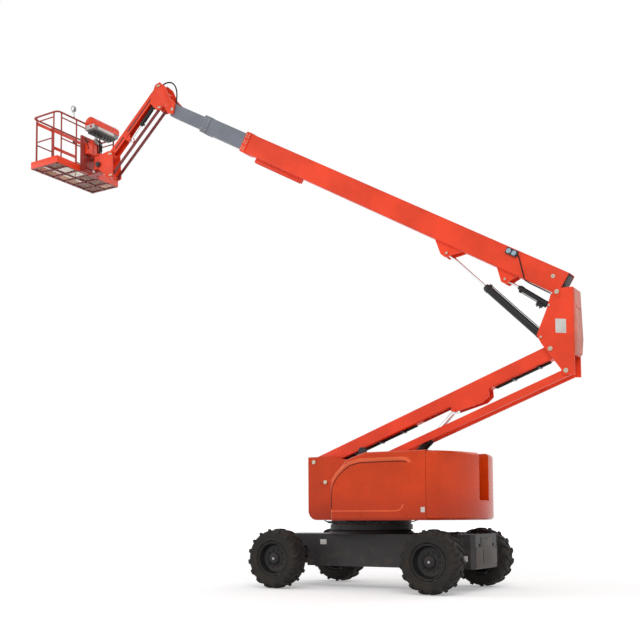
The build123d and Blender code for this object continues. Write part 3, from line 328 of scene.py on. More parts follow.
def make_looks(colours):
    """All the finishes, by name."""
    dust = tuple(colours.dust)
    LOOKS.update({
        "boom": painted("boom_paint", tuple(colours.boom)),
        # The hood paint is painted darker towards the bottom as painted shade.
        "hood": painted("hood_paint", tuple(colours.hood), 0.30, base=tuple(colours.hood_painted_shade),
                        shade_height=(1.15, 1.95)),
        # Painted highlight for the beads along the hoods' shoulders and lower lips.
        "hood_painted_highlight": painted("hood_highlight_paint", tuple(colours.hood_painted_highlight), 0.28, chip=0.0),
        "chassis": painted("chassis_paint", tuple(colours.chassis), 0.50, dust, 1.0),
        # Painted shadow: the dark strip laid along the hoods' creases.
        "painted_crease_shadow": painted("crease_shadow_paint", shade(tuple(colours.hood_painted_shade), 0.22), 0.6, chip=0.0),
        "end_cover": painted("end_cover_paint", (0.062, 0.052, 0.045), 0.55, dust, 1.0),
        "bearing": painted("bearing_grease", shade(tuple(colours.black), 0.9), 0.55, dust, 1.4),
        "telescope": painted("telescope_paint", tuple(colours.telescope), 0.42, chip=0.15),
        "maroon": painted("maroon_paint", tuple(colours.maroon), 0.45),
        "rail": painted("rail_paint", tuple(colours.rail), 0.45),
        "black": painted("cylinder_paint", tuple(colours.black), 0.32, chip=0.2),
        "rim": painted("rim_paint", shade(tuple(colours.black), 1.1), 0.55, shade(dust, 0.5), 1.2),
        "tyre": rubber("tyre_rubber", tuple(colours.rubber), shade(dust, 0.62), 0.42),
        "hose": rubber("hose_rubber", shade(tuple(colours.rubber), 0.8), dust, 0.10),
        "chrome": bright_metal("rod_chrome", (0.78, 0.79, 0.80), 0.10, (1.0, 1.0, 6.0), 0.08),
        "zinc": bright_metal("zinc_plate", tuple(colours.zinc), 0.34),
        "steel": bright_metal("bare_steel", (0.42, 0.41, 0.39), 0.42),
        "plastic": moulded("black_moulding", (0.030, 0.030, 0.032)),
        "grey_plastic": moulded("grey_moulding", (0.26, 0.26, 0.25)),
        "pale": moulded("pale_plate", tuple(colours.plate), 0.45, 90.0),
        "cover": moulded("faded_cover", tuple(colours.cover), 0.48, 160.0),
        "signal_red": moulded("stop_button", (0.62, 0.012, 0.010), 0.30),
        "lens": lens_glass("lamp_lens", (0.80, 0.83, 0.84)),
        "blue_lens": lens_glass("pale_blue_lens", (0.30, 0.44, 0.55)),
        "cast": painted("cast_iron", (0.055, 0.053, 0.052), 0.6, dust, 1.9),
    })


# ---------------------------------------------------------------- shapes
LEVEL = Matrix.Identity(4)
ACROSS_WHEEL = Matrix(((1, 0, 0, 0), (0, 0, 1, 0), (0, -1, 0, 0), (0, 0, 0, 1)))
SIDES = (-1, 1)  # the machine's right, then its left
UP = (0, 0, 1)
SMOOTH_ANGLE = 38.0  # degrees; corners sharper than this stay hard


def upright_plane(y=0.0):
    """Local u runs along X, v up and w to the left."""
    return Matrix(((1, 0, 0, 0), (0, 0, 1, y), (0, 1, 0, 0), (0, 0, 0, 1)))


def arm_plane(origin, angle):
    """Local u runs along an arm from its pin, v square to it and w to the left."""
    c, s = cos(angle), sin(angle)
    return Matrix(((c, -s, 0, origin[0]), (0, 0, 1, 0.0), (s, c, 0, origin[2]), (0, 0, 0, 1)))


def arm_between(start, end):
    """The plane of the arm between two pins, and its length."""
    run = end - start
    return arm_plane(start, atan2(run.z, run.x)), hypot(run.x, run.z)


def slope(joint):
    """The angle that a slide makes with level ground."""
    axis = JOINTS[joint]["axis"]
    return atan2(axis[2], axis[0])


def facing(spot, direction):
    """A place whose local Z looks along a direction."""
    turn = Vector(direction).normalized().to_track_quat("Z", "Y")
    return Matrix.Translation(spot) @ turn.to_matrix().to_4x4()


def flank(x, y, z, side):
    """A place on an upright side face, looking outward."""
    return facing((x, side * y, z), (0, side, 0))


def pair(side, inner, outer):
    """Two distances from the middle, as rising coordinates on either side."""
    return sorted((side * inner, side * outer))


def ring_of(count, radius):
    """Spots (u, v) evenly round a circle."""
    return [(radius * cos(2 * pi * k / count), radius * sin(2 * pi * k / count)) for k in range(count)]


def arch(middle, foot, radius):
    """A half circle in 9 degree steps, from its front foot over the top to its rear one."""
    return [(middle + radius * cos(radians(a)), foot + radius * sin(radians(a))) for a in range(0, 181, 9)]


def stub(radius, shoulder, crown, top):
    """The profile of a short stub whose crown is chamfered."""
    return ((0, 0), (radius, 0), (radius, shoulder), (crown, top), (0, top))


def drum(radius, low, high):
    """The profile of a plain disc."""
    return ((0, low), (radius, low), (radius, high), (0, high))


def rounded_path(points, bend):
    """The points of straight runs, with an arc in place of each corner."""
    if bend <= 0 or len(points) < 3:
        return points
    path = [points[0]]
    for before, corner, after in zip(points, points[1:], points[2:]):
        back, ahead = (before - corner), (after - corner)
        turn = back.angle(ahead)
        reach = min(bend / max(tan(turn / 2), 0.05), back.length * 0.48, ahead.length * 0.48)
        start, end = corner + back.normalized() * reach, corner + ahead.normalized() * reach
        for k in range(7):
            t = k / 6
            path.append((1 - t) ** 2 * start + 2 * t * (1 - t) * corner + t ** 2 * end)
    path.append(points[-1])
    return path


def heading(path, k):
    """Which way a path runs at one of its points."""
    return (path[min(k + 1, len(path) - 1)] - path[max(k - 1, 0)]).normalized()


def skin(part, rings, ends=True):
    """Faces between neighbouring rings, and over the two ends."""
    for first, second in zip(rings, rings[1:]):
        for j in range(len(first)):
            n = (j + 1) % len(first)
            part.faces.new((first[j], first[n], second[n], second[j]))
    if ends:
        part.faces.new(rings[0])
        part.faces.new(rings[-1])


class Shape:
    """Gathers the faces of one piece in the shared frame."""

    def __init__(self):
        self.mesh = bmesh.new()

    def take(self, part, place=LEVEL):
        bmesh.ops.transform(part, matrix=place, verts=part.verts)
        bmesh.ops.recalc_face_normals(part, faces=part.faces)
        data = bpy.data.meshes.new("part")
        part.to_mesh(data)
        part.free()
        self.mesh.from_mesh(data)
        bpy.data.meshes.remove(data)

    def prism(self, outline, low, high, place=LEVEL, bevel=0.0, steps=2):
        """An outline in local u and v, from w = low to w = high, with softened edges."""
        part = bmesh.new()
        floor = [part.verts.new((u, v, low)) for u, v in outline]
        roof = [part.verts.new((u, v, high)) for u, v in outline]
        part.faces.new(floor)
        part.faces.new(roof)
        for k in range(len(outline)):
            n = (k + 1) % len(outline)
            part.faces.new((floor[k], floor[n], roof[n], roof[k]))
        if bevel:
            bmesh.ops.recalc_face_normals(part, faces=part.faces)
            bmesh.ops.bevel(part, geom=list(part.edges), offset=bevel, segments=steps, profile=0.6,
                            affect="EDGES", clamp_overlap=True)
        self.take(part, place)

    def block(self, low, high, place=LEVEL, bevel=0.003, steps=2):
        """A softened block between two corners."""
        outline = ((low[0], low[1]), (high[0], low[1]), (high[0], high[1]), (low[0], high[1]))
        self.prism(outline, low[2], high[2], place, bevel, steps)

    def side_plates(self, outline, inner, outer, place, bevel):
        """The same plate on both sides of an arm."""
        for s in SIDES:
            self.prism(outline, *pair(s, inner, outer), place, bevel)

    def side_blocks(self, low, high, inner, outer, place, bevel):
        """The same upright block on both sides of an arm, between two corners (u, v)."""
        for s in SIDES:
            w = pair(s, inner, outer)
            self.block((*low, w[0]), (*high, w[1]), place, bevel)

    def turned(self, profile, place, steps):
        """A profile of (radius, height) turned about local Z. A radius of 0 closes it."""
        part = bmesh.new()
        rings = []
        for radius, height in profile:
            spots = ring_of(steps, radius) if radius > 0 else [(0, 0)]
            rings.append([part.verts.new((u, v, height)) for u, v in spots])
        for first, second in zip(rings, rings[1:]):
            for k in range(steps):
                n = (k + 1) % steps
                if len(first) == 1:
                    part.faces.new((first[0], second[k], second[n]))
                elif len(second) == 1:
                    part.faces.new((first[k], first[n], second[0]))
                else:
                    part.faces.new((first[k], first[n], second[n], second[k]))
        self.take(part, place)

    def bolt(self, spot, direction, width):
        """A hexagon head on its washer."""
        place = facing(spot, direction)
        self.turned(drum(width * 0.85, 0, width * 0.10), place, 16)
        self.turned(stub(width * 0.58, width * 0.38, width * 0.46, width * 0.48), place, 6)

    def side_bolts(self, spots, out, width, place):
        """The same bolts on both sides of an arm, at spots (u, v) of its side faces."""
        for s in SIDES:
            for u, v in spots:
                self.bolt(place @ Vector((u, v, s * out)), (0, s, 0), width)

    def pin_head(self, spot, direction, radius, keeper):
        """A turned pin end with a grease nipple, and its keeper plate where one shows."""
        place = facing(spot, direction)
        self.turned(((0, 0), (radius, 0), (radius, 0.006), (radius * 0.90, 0.010), (radius * 0.45, 0.010),
                     (radius * 0.40, 0.007), (0.006, 0.007), (0.005, 0.014), (0, 0.014)), place, 32)
        if keeper:
            self.block((radius * 0.55, -0.016, 0.001), (radius + keeper, 0.016, 0.007), place, 0.002)
            self.turned(((0, 0.007), (0.011, 0.007), (0.011, 0.013), (0, 0.014)),
                        place @ Matrix.Translation((radius + keeper - 0.016, 0, 0)), 6)

    def pin_ends(self, spot, out, radius, keeper=None):
        """Both ends of a pin, at a distance to either side of its middle."""
        for s in SIDES:
            self.pin_head(spot + Vector((0, s * out, 0)), (0, s, 0), radius, keeper)

    def keepers(self, spot, out, turn, start, end, half, bolt_at, nut, top):
        """A keeper plate beside both ends of a pin, turned about it, each with its bolt."""
        for s in SIDES:
            place = flank(spot.x, out, spot.z, s) @ Matrix.Rotation(turn, 4, "Z")
            self.block((start, -half, 0.0), (end, half, 0.008), place, 0.003)
            self.turned(((0, 0.008), (nut, 0.008), (nut, top - 0.002), (0, top)),
                        place @ Matrix.Translation((bolt_at, 0, 0)), 6)

    def pipe(self, points, radius, sides=12, ends=True, bend=0.0):
        """A tube along straight runs whose corners are rounded to a bend radius."""
        path = rounded_path([Vector(p) for p in points], bend)
        part = bmesh.new()
        rings = []
        across = heading(path, 0).orthogonal().normalized()
        for k, spot in enumerate(path):
            ahead = heading(path, k)
            across = (across - ahead * across.dot(ahead)).normalized()
            other = ahead.cross(across)
            rings.append([part.verts.new(spot + (across * u + other * v) * radius)
                          for u, v in ring_of(sides, 1.0)])
        skin(part, rings, ends)
        self.take(part)

    def moulding(self, points, y, side, width, height, aside=0.0):
        """A rounded bead along a line on an upright face, or a little to one side of that line."""
        path = rounded_path([Vector((x, 0, z)) for x, z in points], 0.05)
        part = bmesh.new()
        rings = []
        for k, spot in enumerate(path):
            ahead = heading(path, k)
            square = Vector((-ahead.z, 0, ahead.x))
            fade = min(1.0, 0.15 + 6.0 * min(k, len(path) - 1 - k) / len(path))
            rings.append([part.verts.new(spot + square * (aside + across * width)
                                         + Vector((0, y + side * up * height * fade, 0)))
                          for across, up in BEAD])
        skin(part, rings)
        self.take(part)

    def data(self, name):
        """Hands the gathered faces over as a mesh."""
        data = bpy.data.meshes.new(name)
        self.mesh.to_mesh(data)
        self.mesh.free()
        return data

    def piece(self, name, body, look, replaces=(), smooth=SMOOTH_ANGLE):
        """Makes the object, gives it its finish and sets it on its body."""
        return dress(name, self.data(name), body, look, replaces, smooth)


BEAD = ((-1.0, 0.0), (-0.72, 0.62), (-0.25, 1.0), (0.25, 1.0), (0.72, 0.62), (1.0, 0.0))


def dress(name, data, body, look, replaces=(), smooth=SMOOTH_ANGLE, spot=None, turn=0.0):
    """Makes an object of a mesh, with its finish and body."""
    data.shade_smooth()
    data.set_sharp_from_angle(angle=radians(smooth))
    made = bpy.data.objects.new(name, data)
    bpy.context.scene.collection.objects.link(made)
    if not data.materials:
        data.materials.append(LOOKS[look])
    if spot:
        made.matrix_world = Matrix.Translation(spot) @ Matrix.Rotation(turn, 4, "Z")
    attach(made, body)
    if replaces:
        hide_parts(*replaces)
    return made


# ---------------------------------------------------------------- stage
CAMERA_SPOT = (-7.767, 14.616, 1.225)
CAMERA_YAW, CAMERA_PITCH, CAMERA_ROLL = radians(32.483), radians(3.730), radians(-0.260)
CAMERA_LENS, CAMERA_SENSOR = 53.57, 36.0  # millimetres
CAMERA_SHIFT = (0.0373, 0.2088)
FLOOR_HALF = 150.0
FLOOR_DROP = 0.001  # below the lowest tread, so that the two never share a plane
LAMP_SIZE = 9.0
LAMP_AIM = Vector((0.5, 0.0, 4.5))
LAMPS = (
    # name, place, energy
    ("key", (-10.0, 16.0, 15.0), 1250.0),
    ("fill", (14.0, 9.0, 8.0), 520.0),
    ("rim", (-6.0, -15.0, 14.0), 520.0),
)


def grey(level):
    return (level, level, level)


class LIFT_OT_stage(bpy.types.Operator):
    """Sets the pale floor, the soft studio lamps and the camera"""
    bl_idname = "lift.stage"
    bl_label = "Stage and Camera"

    def execute(self, context):
        make_looks(context.scene.lift_colours)
        self.camera(context)
        self.floor(context)
        world = bpy.data.worlds.new("studio")
        context.scene.world = world
        air = Finish("studio_air", world)
        tone = air.mix(air.seen(), grey(0.62), grey(1.0))
        sky = air.node("ShaderNodeBackground", {}, {"Color": tone, "Strength": 1.0})
        air.tree.links.new(sky.socket, air.end.inputs["Surface"])
        for name, spot, energy in LAMPS:
            lamp = bpy.data.lights.new(name, "AREA")
            lamp.energy = energy
            lamp.size = LAMP_SIZE
            made = bpy.data.objects.new(name, lamp)
            made.matrix_world = facing(Vector(spot), Vector(spot) - LAMP_AIM)
            context.scene.collection.objects.link(made)
        context.scene.view_settings.view_transform = "Standard"
        return {"FINISHED"}

    def camera(self, context):
        data = bpy.data.cameras.new("camera")
        camera = bpy.data.objects.new("camera", data)
        context.scene.collection.objects.link(camera)
        level = cos(CAMERA_PITCH)
        ahead = Vector((sin(CAMERA_YAW) * level, -cos(CAMERA_YAW) * level, sin(CAMERA_PITCH)))
        right = Vector((-cos(CAMERA_YAW), -sin(CAMERA_YAW), 0.0))
        up = right.cross(ahead)
        c, s = cos(CAMERA_ROLL), sin(CAMERA_ROLL)
        right, up = right * c + up * s, up * c - right * s
        turn = Matrix((right, up, -ahead)).transposed().to_4x4()
        camera.matrix_world = Matrix.Translation(CAMERA_SPOT) @ turn
        data.sensor_width = CAMERA_SENSOR
        data.lens = CAMERA_LENS
        data.shift_x, data.shift_y = CAMERA_SHIFT
        data.clip_start, data.clip_end = 0.1, 400.0
        data.dof.use_dof = False
        context.scene.camera = camera

    def floor(self, context):
        grid = bmesh.new()
        bmesh.ops.create_grid(grid, x_segments=4, y_segments=4, size=FLOOR_HALF)
        data = bpy.data.meshes.new("floor")
        grid.to_mesh(data)
        grid.free()
        floor = bpy.data.objects.new("floor", data)
        floor.location.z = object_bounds()[0].z - FLOOR_DROP
        context.scene.collection.objects.link(floor)
        floor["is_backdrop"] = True
        look = Finish("studio_floor")
        grain = look.noise(40.0)
        away = look.node("ShaderNodeVectorMath", {"operation": "LENGTH"}, {0: look.place}, output="Value")
        glow = look.mix(away.ramp(7.0, 26.0), grey(0.30), grey(0.75))
        data.materials.append(look.close({
            "Base Color": look.mix(grain * 0.04, grey(0.86), grey(0.80)), "Roughness": 1.0,
            "Specular IOR Level": 0.0, "Emission Color": look.mix(look.seen(), grey(0.0), glow),
            "Emission Strength": 1.0}))


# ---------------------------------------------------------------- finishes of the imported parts
NODE_LOOKS = (
    # finish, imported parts
    ("boom", ("riser_boom", "riser_link", "upright", "boom_base", "jib_arm", "jib_bracket",
              "platform_bracket")),
    ("hood", ("hood_left", "hood_right", "counterweight", "turntable_frame")),
    ("chassis", ("chassis_frame", "front_axle", "rear_axle", "knuckle_left", "knuckle_right")),
    ("bearing", ("slew_bearing",)),
    ("telescope", ("boom_mid", "boom_fly")),
    ("maroon", ("jib_link", "entry_gate")),
    ("rail", ("platform_support",)),
    ("black", ("riser_cylinder_barrel", "lift_cylinder_barrel", "level_cylinder_barrel",
               "jib_cylinder_barrel", "steer_barrel", "tank_block")),
    ("chrome", ("riser_cylinder_rod", "lift_cylinder_rod", "level_cylinder_rod", "jib_cylinder_rod",
                "steer_rod")),
    ("plastic", ("motion_alarm",)),
    ("cover", ("upright_cover",)),
    ("cast", ("engine_block",)),
)


class LIFT_OT_finishes(bpy.types.Operator):
    """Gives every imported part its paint, metal or plastic"""
    bl_idname = "lift.finishes"
    bl_label = "Finishes"

    def execute(self, context):
        for look, names in NODE_LOOKS:
            for name in names:
                shown = frame["nodes"][name]
                for holder in shown.material_slots:
                    holder.material = LOOKS[look]
                if not shown.material_slots:
                    shown.data.materials.append(LOOKS[look])
        return {"FINISHED"}


# ---------------------------------------------------------------- wheels
TYRE_RADIUS = 0.505
LUG_SLANT = 28.0
LUG_WRAP = 0.178  # beyond this the lugs run straight down the wall
WHEELS = (
    # name, half turn that sets its outer face outward
    ("front_left", 0.0),
    ("front_right", pi),
    ("rear_left", 0.0),
    ("rear_right", pi),
)


class LIFT_OT_wheels(bpy.types.Operator):
    """Builds the lugged tyres and dished rims"""
    bl_idname = "lift.wheels"
    bl_label = "Wheels"

    def execute(self, context):
        sizes = context.scene.lift_sizes
        low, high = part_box("tyre_front_left")
        radius = min((high.z - low.z) / 2, TYRE_RADIUS)
        tyre = self.tyre_mesh(radius, (high.y - low.y) / 2, sizes.lug_height, sizes.lug_count)
        rim = self.rim_mesh()
        for name, turn in WHEELS:
            body, spot = f"wheel_{name}", pin(f"wheel_{name}_spin")
            dress(f"road_tyre_{name}", tyre, body, "tyre", (f"tyre_{name}",), spot=spot, turn=turn)
            dress(f"road_rim_{name}", rim, body, "rim", (f"rim_{name}",), spot=spot, turn=turn)
            hub = Shape()
            hub.turned(((0, 0.134), (0.020, 0.134), (0.022, 0.128), (0.022, 0.120), (0, 0.120)),
                       ACROSS_WHEEL, 24)
            dress(f"hub_plug_{name}", hub.data(f"hub_plug_{name}"), body, "steel",
                  spot=spot, turn=turn)
        return {"FINISHED"}

    def tyre_mesh(self, radius, half, lug, count):
        """A carcass with bulging walls, and two rows of slanted lugs that wrap over its shoulders."""
        base = radius - lug
        shape = Shape()
        wall = ((0.292, 0.160), (0.300, 0.176), (0.312, 0.186), (0.330, 0.1900), (0.338, 0.1865),
                (0.360, 0.1905), (0.395, 0.1915), (0.425, 0.1885), (0.428, 0.1850), (0.440, 0.1800),
                (0.462, 0.1600), (base - 0.004, 0.130), (base, 0.080), (base + 0.001, 0.0))
        bead = ((0.288, -0.150), (0.286, 0.0), (0.288, 0.150), (0.292, 0.160))
        shape.turned([*wall, *((r, -y) for r, y in reversed(wall[:-1])), *bead], ACROSS_WHEEL, 96)
        stations = (
            # y from the middle, top radius, foot radius, half thickness at the top
            (0.004, radius - 0.0040, base - 0.010, 0.0215),
            (0.055, radius - 0.0006, base - 0.010, 0.0225),
            (0.110, radius - 0.0006, base - 0.012, 0.0240),
            (0.152, radius - 0.0040, base - 0.030, 0.0250),
            (LUG_WRAP, radius - 0.0180, 0.440, 0.0250),
            (half - 0.0005, radius - 0.0480, 0.425, 0.0235),
            (half - 0.0012, radius - 0.0780, 0.418, 0.0200),
        )
        for row in SIDES:
            start = (row + 1) / 2 * pi / count
            for step in range(count):
                shape.take(self.lug(start + 2 * pi * step / count, row, half, base, stations))
        return self.coated(shape, "road_tyre", "tyre")

    def lug(self, around, row, half, base, stations):
        """One lug, from the tyre's middle out over its shoulder."""
        part = bmesh.new()
        rings = []
        for y, top, foot, thick in stations:
            drift = (min(y, LUG_WRAP) - half / 2) * tan(radians(LUG_SLANT))
            ring = []
            for r, side, widen in ((foot, -1, 1.30), (top, -1, 1.0), (top, 1, 1.0), (foot, 1, 1.30)):
                a = around - (drift + side * thick * widen) / r
                y_here = y if r == top or y < 0.15 else y - 0.020
                ring.append(part.verts.new((r * cos(a), row * y_here, -r * sin(a))))
            rings.append(ring)
        skin(part, rings)
        bmesh.ops.recalc_face_normals(part, faces=part.faces)
        tops = [edge for edge in part.edges
                if all((v.co.x ** 2 + v.co.z ** 2) ** 0.5 > base - 0.055 for v in edge.verts)]
        bmesh.ops.bevel(part, geom=tops, offset=0.0035, segments=2, profile=0.6, affect="EDGES",
                        clamp_overlap=True)
        return part

    def rim_mesh(self):
        """A dished steel rim: rolled flange, drop well, disc with its ring of studs and a hub cap."""
        shape = Shape()
        barrel = ((0.262, 0.1625), (0.282, 0.1640), (0.2850, 0.1600), (0.2850, 0.1520), (0.276, 0.146),
                  (0.274, 0.10), (0.262, 0.07), (0.262, -0.07), (0.274, -0.10), (0.276, -0.146),
                  (0.2850, -0.1520), (0.2850, -0.1600), (0.282, -0.1625), (0.262, -0.1625),
                  (0.256, -0.150), (0.254, 0.040), (0.256, 0.150), (0.262, 0.1625))
        disc = ((0.256, 0.050), (0.244, 0.064), (0.225, 0.0715), (0.190, 0.0725), (0.182, 0.068),
                (0.124, 0.068), (0.118, 0.0725), (0.112, 0.078), (0.100, 0.082), (0.099, 0.106),
                (0.092, 0.118), (0.070, 0.127), (0.045, 0.130), (0, 0.131))
        back = ((0.256, 0.0565), (0.244, 0.0565), (0.0, 0.0565))
        for profile in (barrel, disc, back):
            shape.turned(profile, ACROSS_WHEEL, 72)
        for u, v in ring_of(10, 0.150):
            shape.bolt(Vector((u, 0.0705, v)), (0, 1, 0), 0.026)
        return self.coated(shape, "road_rim", "rim")

    def coated(self, shape, name, look):
        """A mesh that all four wheels share, with its finish."""
        data = shape.data(name)
        data.materials.append(LOOKS[look])
        return data


# ---------------------------------------------------------------- chassis
CHASSIS_SIDE = 0.515
CHASSIS_TOP = 0.915
COVER_PROUD = 0.006
SLEW_BOLTS, SLEW_BOLT_CIRCLE, SLEW_TOP = 36, 0.695, 1.070


class LIFT_OT_chassis(bpy.types.Operator):
    """Adds the chassis's covers, blank plates, bolts, slew ring, drive hoses and rear hub motors"""
    bl_idname = "lift.chassis"
    bl_label = "Chassis Trim"

    def execute(self, context):
        sizes = context.scene.lift_sizes
        low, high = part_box("chassis_frame")
        proud = min(abs(low.y), high.y)
        rear, front = low.x + 0.085, low.x + 0.355
        covers = Shape()
        for s in SIDES:
            y = pair(s, proud, proud + COVER_PROUD)
            covers.block((rear, y[0], 0.450), (front, y[1], 0.855), bevel=0.003)
        covers.piece("chassis_cover_plates", "chassis", "chassis")

        ends = Shape()
        for x, s in ((low.x, -1), (high.x, 1)):
            near, far = sorted((x, x + s * 0.008)), sorted((x, x + s * 0.016))
            ends.block((near[0], -0.455, 0.400), (near[1], 0.455, 0.715), bevel=0.004)
            ends.block((near[0], -0.232, 0.716), (near[1], 0.232, 0.868), bevel=0.004)
            ends.block((far[0], -0.400, 0.440), (far[1], 0.150, 0.680), bevel=0.007)
            for y, z in ((-0.420, 0.425), (-0.420, 0.690), (0.420, 0.425), (0.420, 0.690), (0.0, 0.845)):
                ends.bolt((x + s * 0.008, y, z), (s, 0, 0), 0.018)
        ends.piece("chassis_end_covers", "chassis", "end_cover")

        bolts = Shape()
        bolts.side_bolts([(x, z) for x in (rear + 0.025, front - 0.025) for z in (0.475, 0.650, 0.830)],
                         proud + COVER_PROUD, sizes.bolt * 0.7, upright_plane())
        for u, v in ring_of(SLEW_BOLTS, SLEW_BOLT_CIRCLE):
            bolts.bolt((u, v, SLEW_TOP), UP, sizes.bolt * 0.6)
        bolts.piece("chassis_bolts", "chassis", "bearing")

        ring = Shape()
        ring.turned(((0.7100, 0.987), (0.7100, 1.000), (0.698, 1.006), (0.698, 1.050), (0.7100, 1.056),
                     (0.7100, 1.068), (0.700, 1.0712), (0.660, 1.0712)), LEVEL, 96)
        ring.piece("slew_ring_races", "chassis", "bearing")

        plates = Shape()
        plates.block((0.600, CHASSIS_SIDE, 0.735), (0.725, CHASSIS_SIDE + 0.0025, 0.820), bevel=0.001)
        plates.block((low.x + 0.012, proud, 0.505), (low.x + 0.072, proud + 0.0025, 0.590), bevel=0.001)
        plates.piece("chassis_blank_plates", "chassis", "pale")
        self.hoses(sizes.hose / 2)
        self.rear_hubs()
        return {"FINISHED"}

    def hoses(self, r):
        hoses = Shape()
        z = CHASSIS_TOP + r + 0.002
        for s in SIDES:
            for k in range(3):
                y = s * (0.470 - k * 0.030)
                hoses.pipe(((-0.90, y * 0.72, z), (-1.20, y * 0.9, z), (-1.50, y, z), (-1.68, y, z),
                            (-1.76, y, z - 0.001)), r, bend=0.10)
            for k in range(2):
                x = 1.00 - k * 0.045
                hoses.pipe(((x, s * 0.500, 0.66 - k * 0.04), (x, s * 0.560, 0.67 - k * 0.04),
                            (x - 0.02, s * 0.640, 0.60 - k * 0.03), (x + 0.015, s * 0.690, 0.545)),
                           r, bend=0.06)
        hoses.piece("drive_hoses", "chassis", "hose")

        clamps = Shape()
        for s in SIDES:
            y = s * 0.438
            for x in (-1.40, -1.60):
                clamps.block((x - 0.018, y - 0.058, 0.9155), (x + 0.018, y + 0.058, 0.943), bevel=0.005)
                clamps.bolt((x, y, 0.943), UP, 0.016)
        clamps.piece("hose_clamps", "chassis", "black")

    def rear_hubs(self):
        axle = Shape()
        hub = pin("wheel_rear_left_spin")
        for s in SIDES:
            for u, v in ring_of(12, 0.098):
                axle.bolt(Vector((hub.x + u, s * 0.740, hub.z + v)), (0, -s, 0), 0.018)
            axle.turned(((0.060, 0.0), (0.082, 0.004), (0.082, 0.030), (0.060, 0.036), (0.0, 0.036)),
                        facing((hub.x, s * 0.700, hub.z + 0.075), UP), 32)
        axle.piece("rear_hub_motors", "chassis", "black")


# ---------------------------------------------------------------- turntable and hoods
HOOD_FACE = 1.150
CHEEK_FACE = 0.185
HOOD_CREASE = (
    # x, z along the hood's side: up the nose, over the shoulder and back along the top
    (0.138, 1.330), (0.136, 1.560), (0.128, 1.660), (0.090, 1.760), (0.010, 1.870), (-0.110, 1.975),
    (-0.230, 2.045), (-0.400, 2.082), (-0.800, 2.086), (-1.150, 2.086), (-1.235, 2.072), (-1.285, 2.030),
)
HOOD_LIP = (
    (0.136, 1.299), (-0.400, 1.295), (-1.020, 1.291), (-1.100, 1.305), (-1.150, 1.340), (-1.168, 1.400),
)


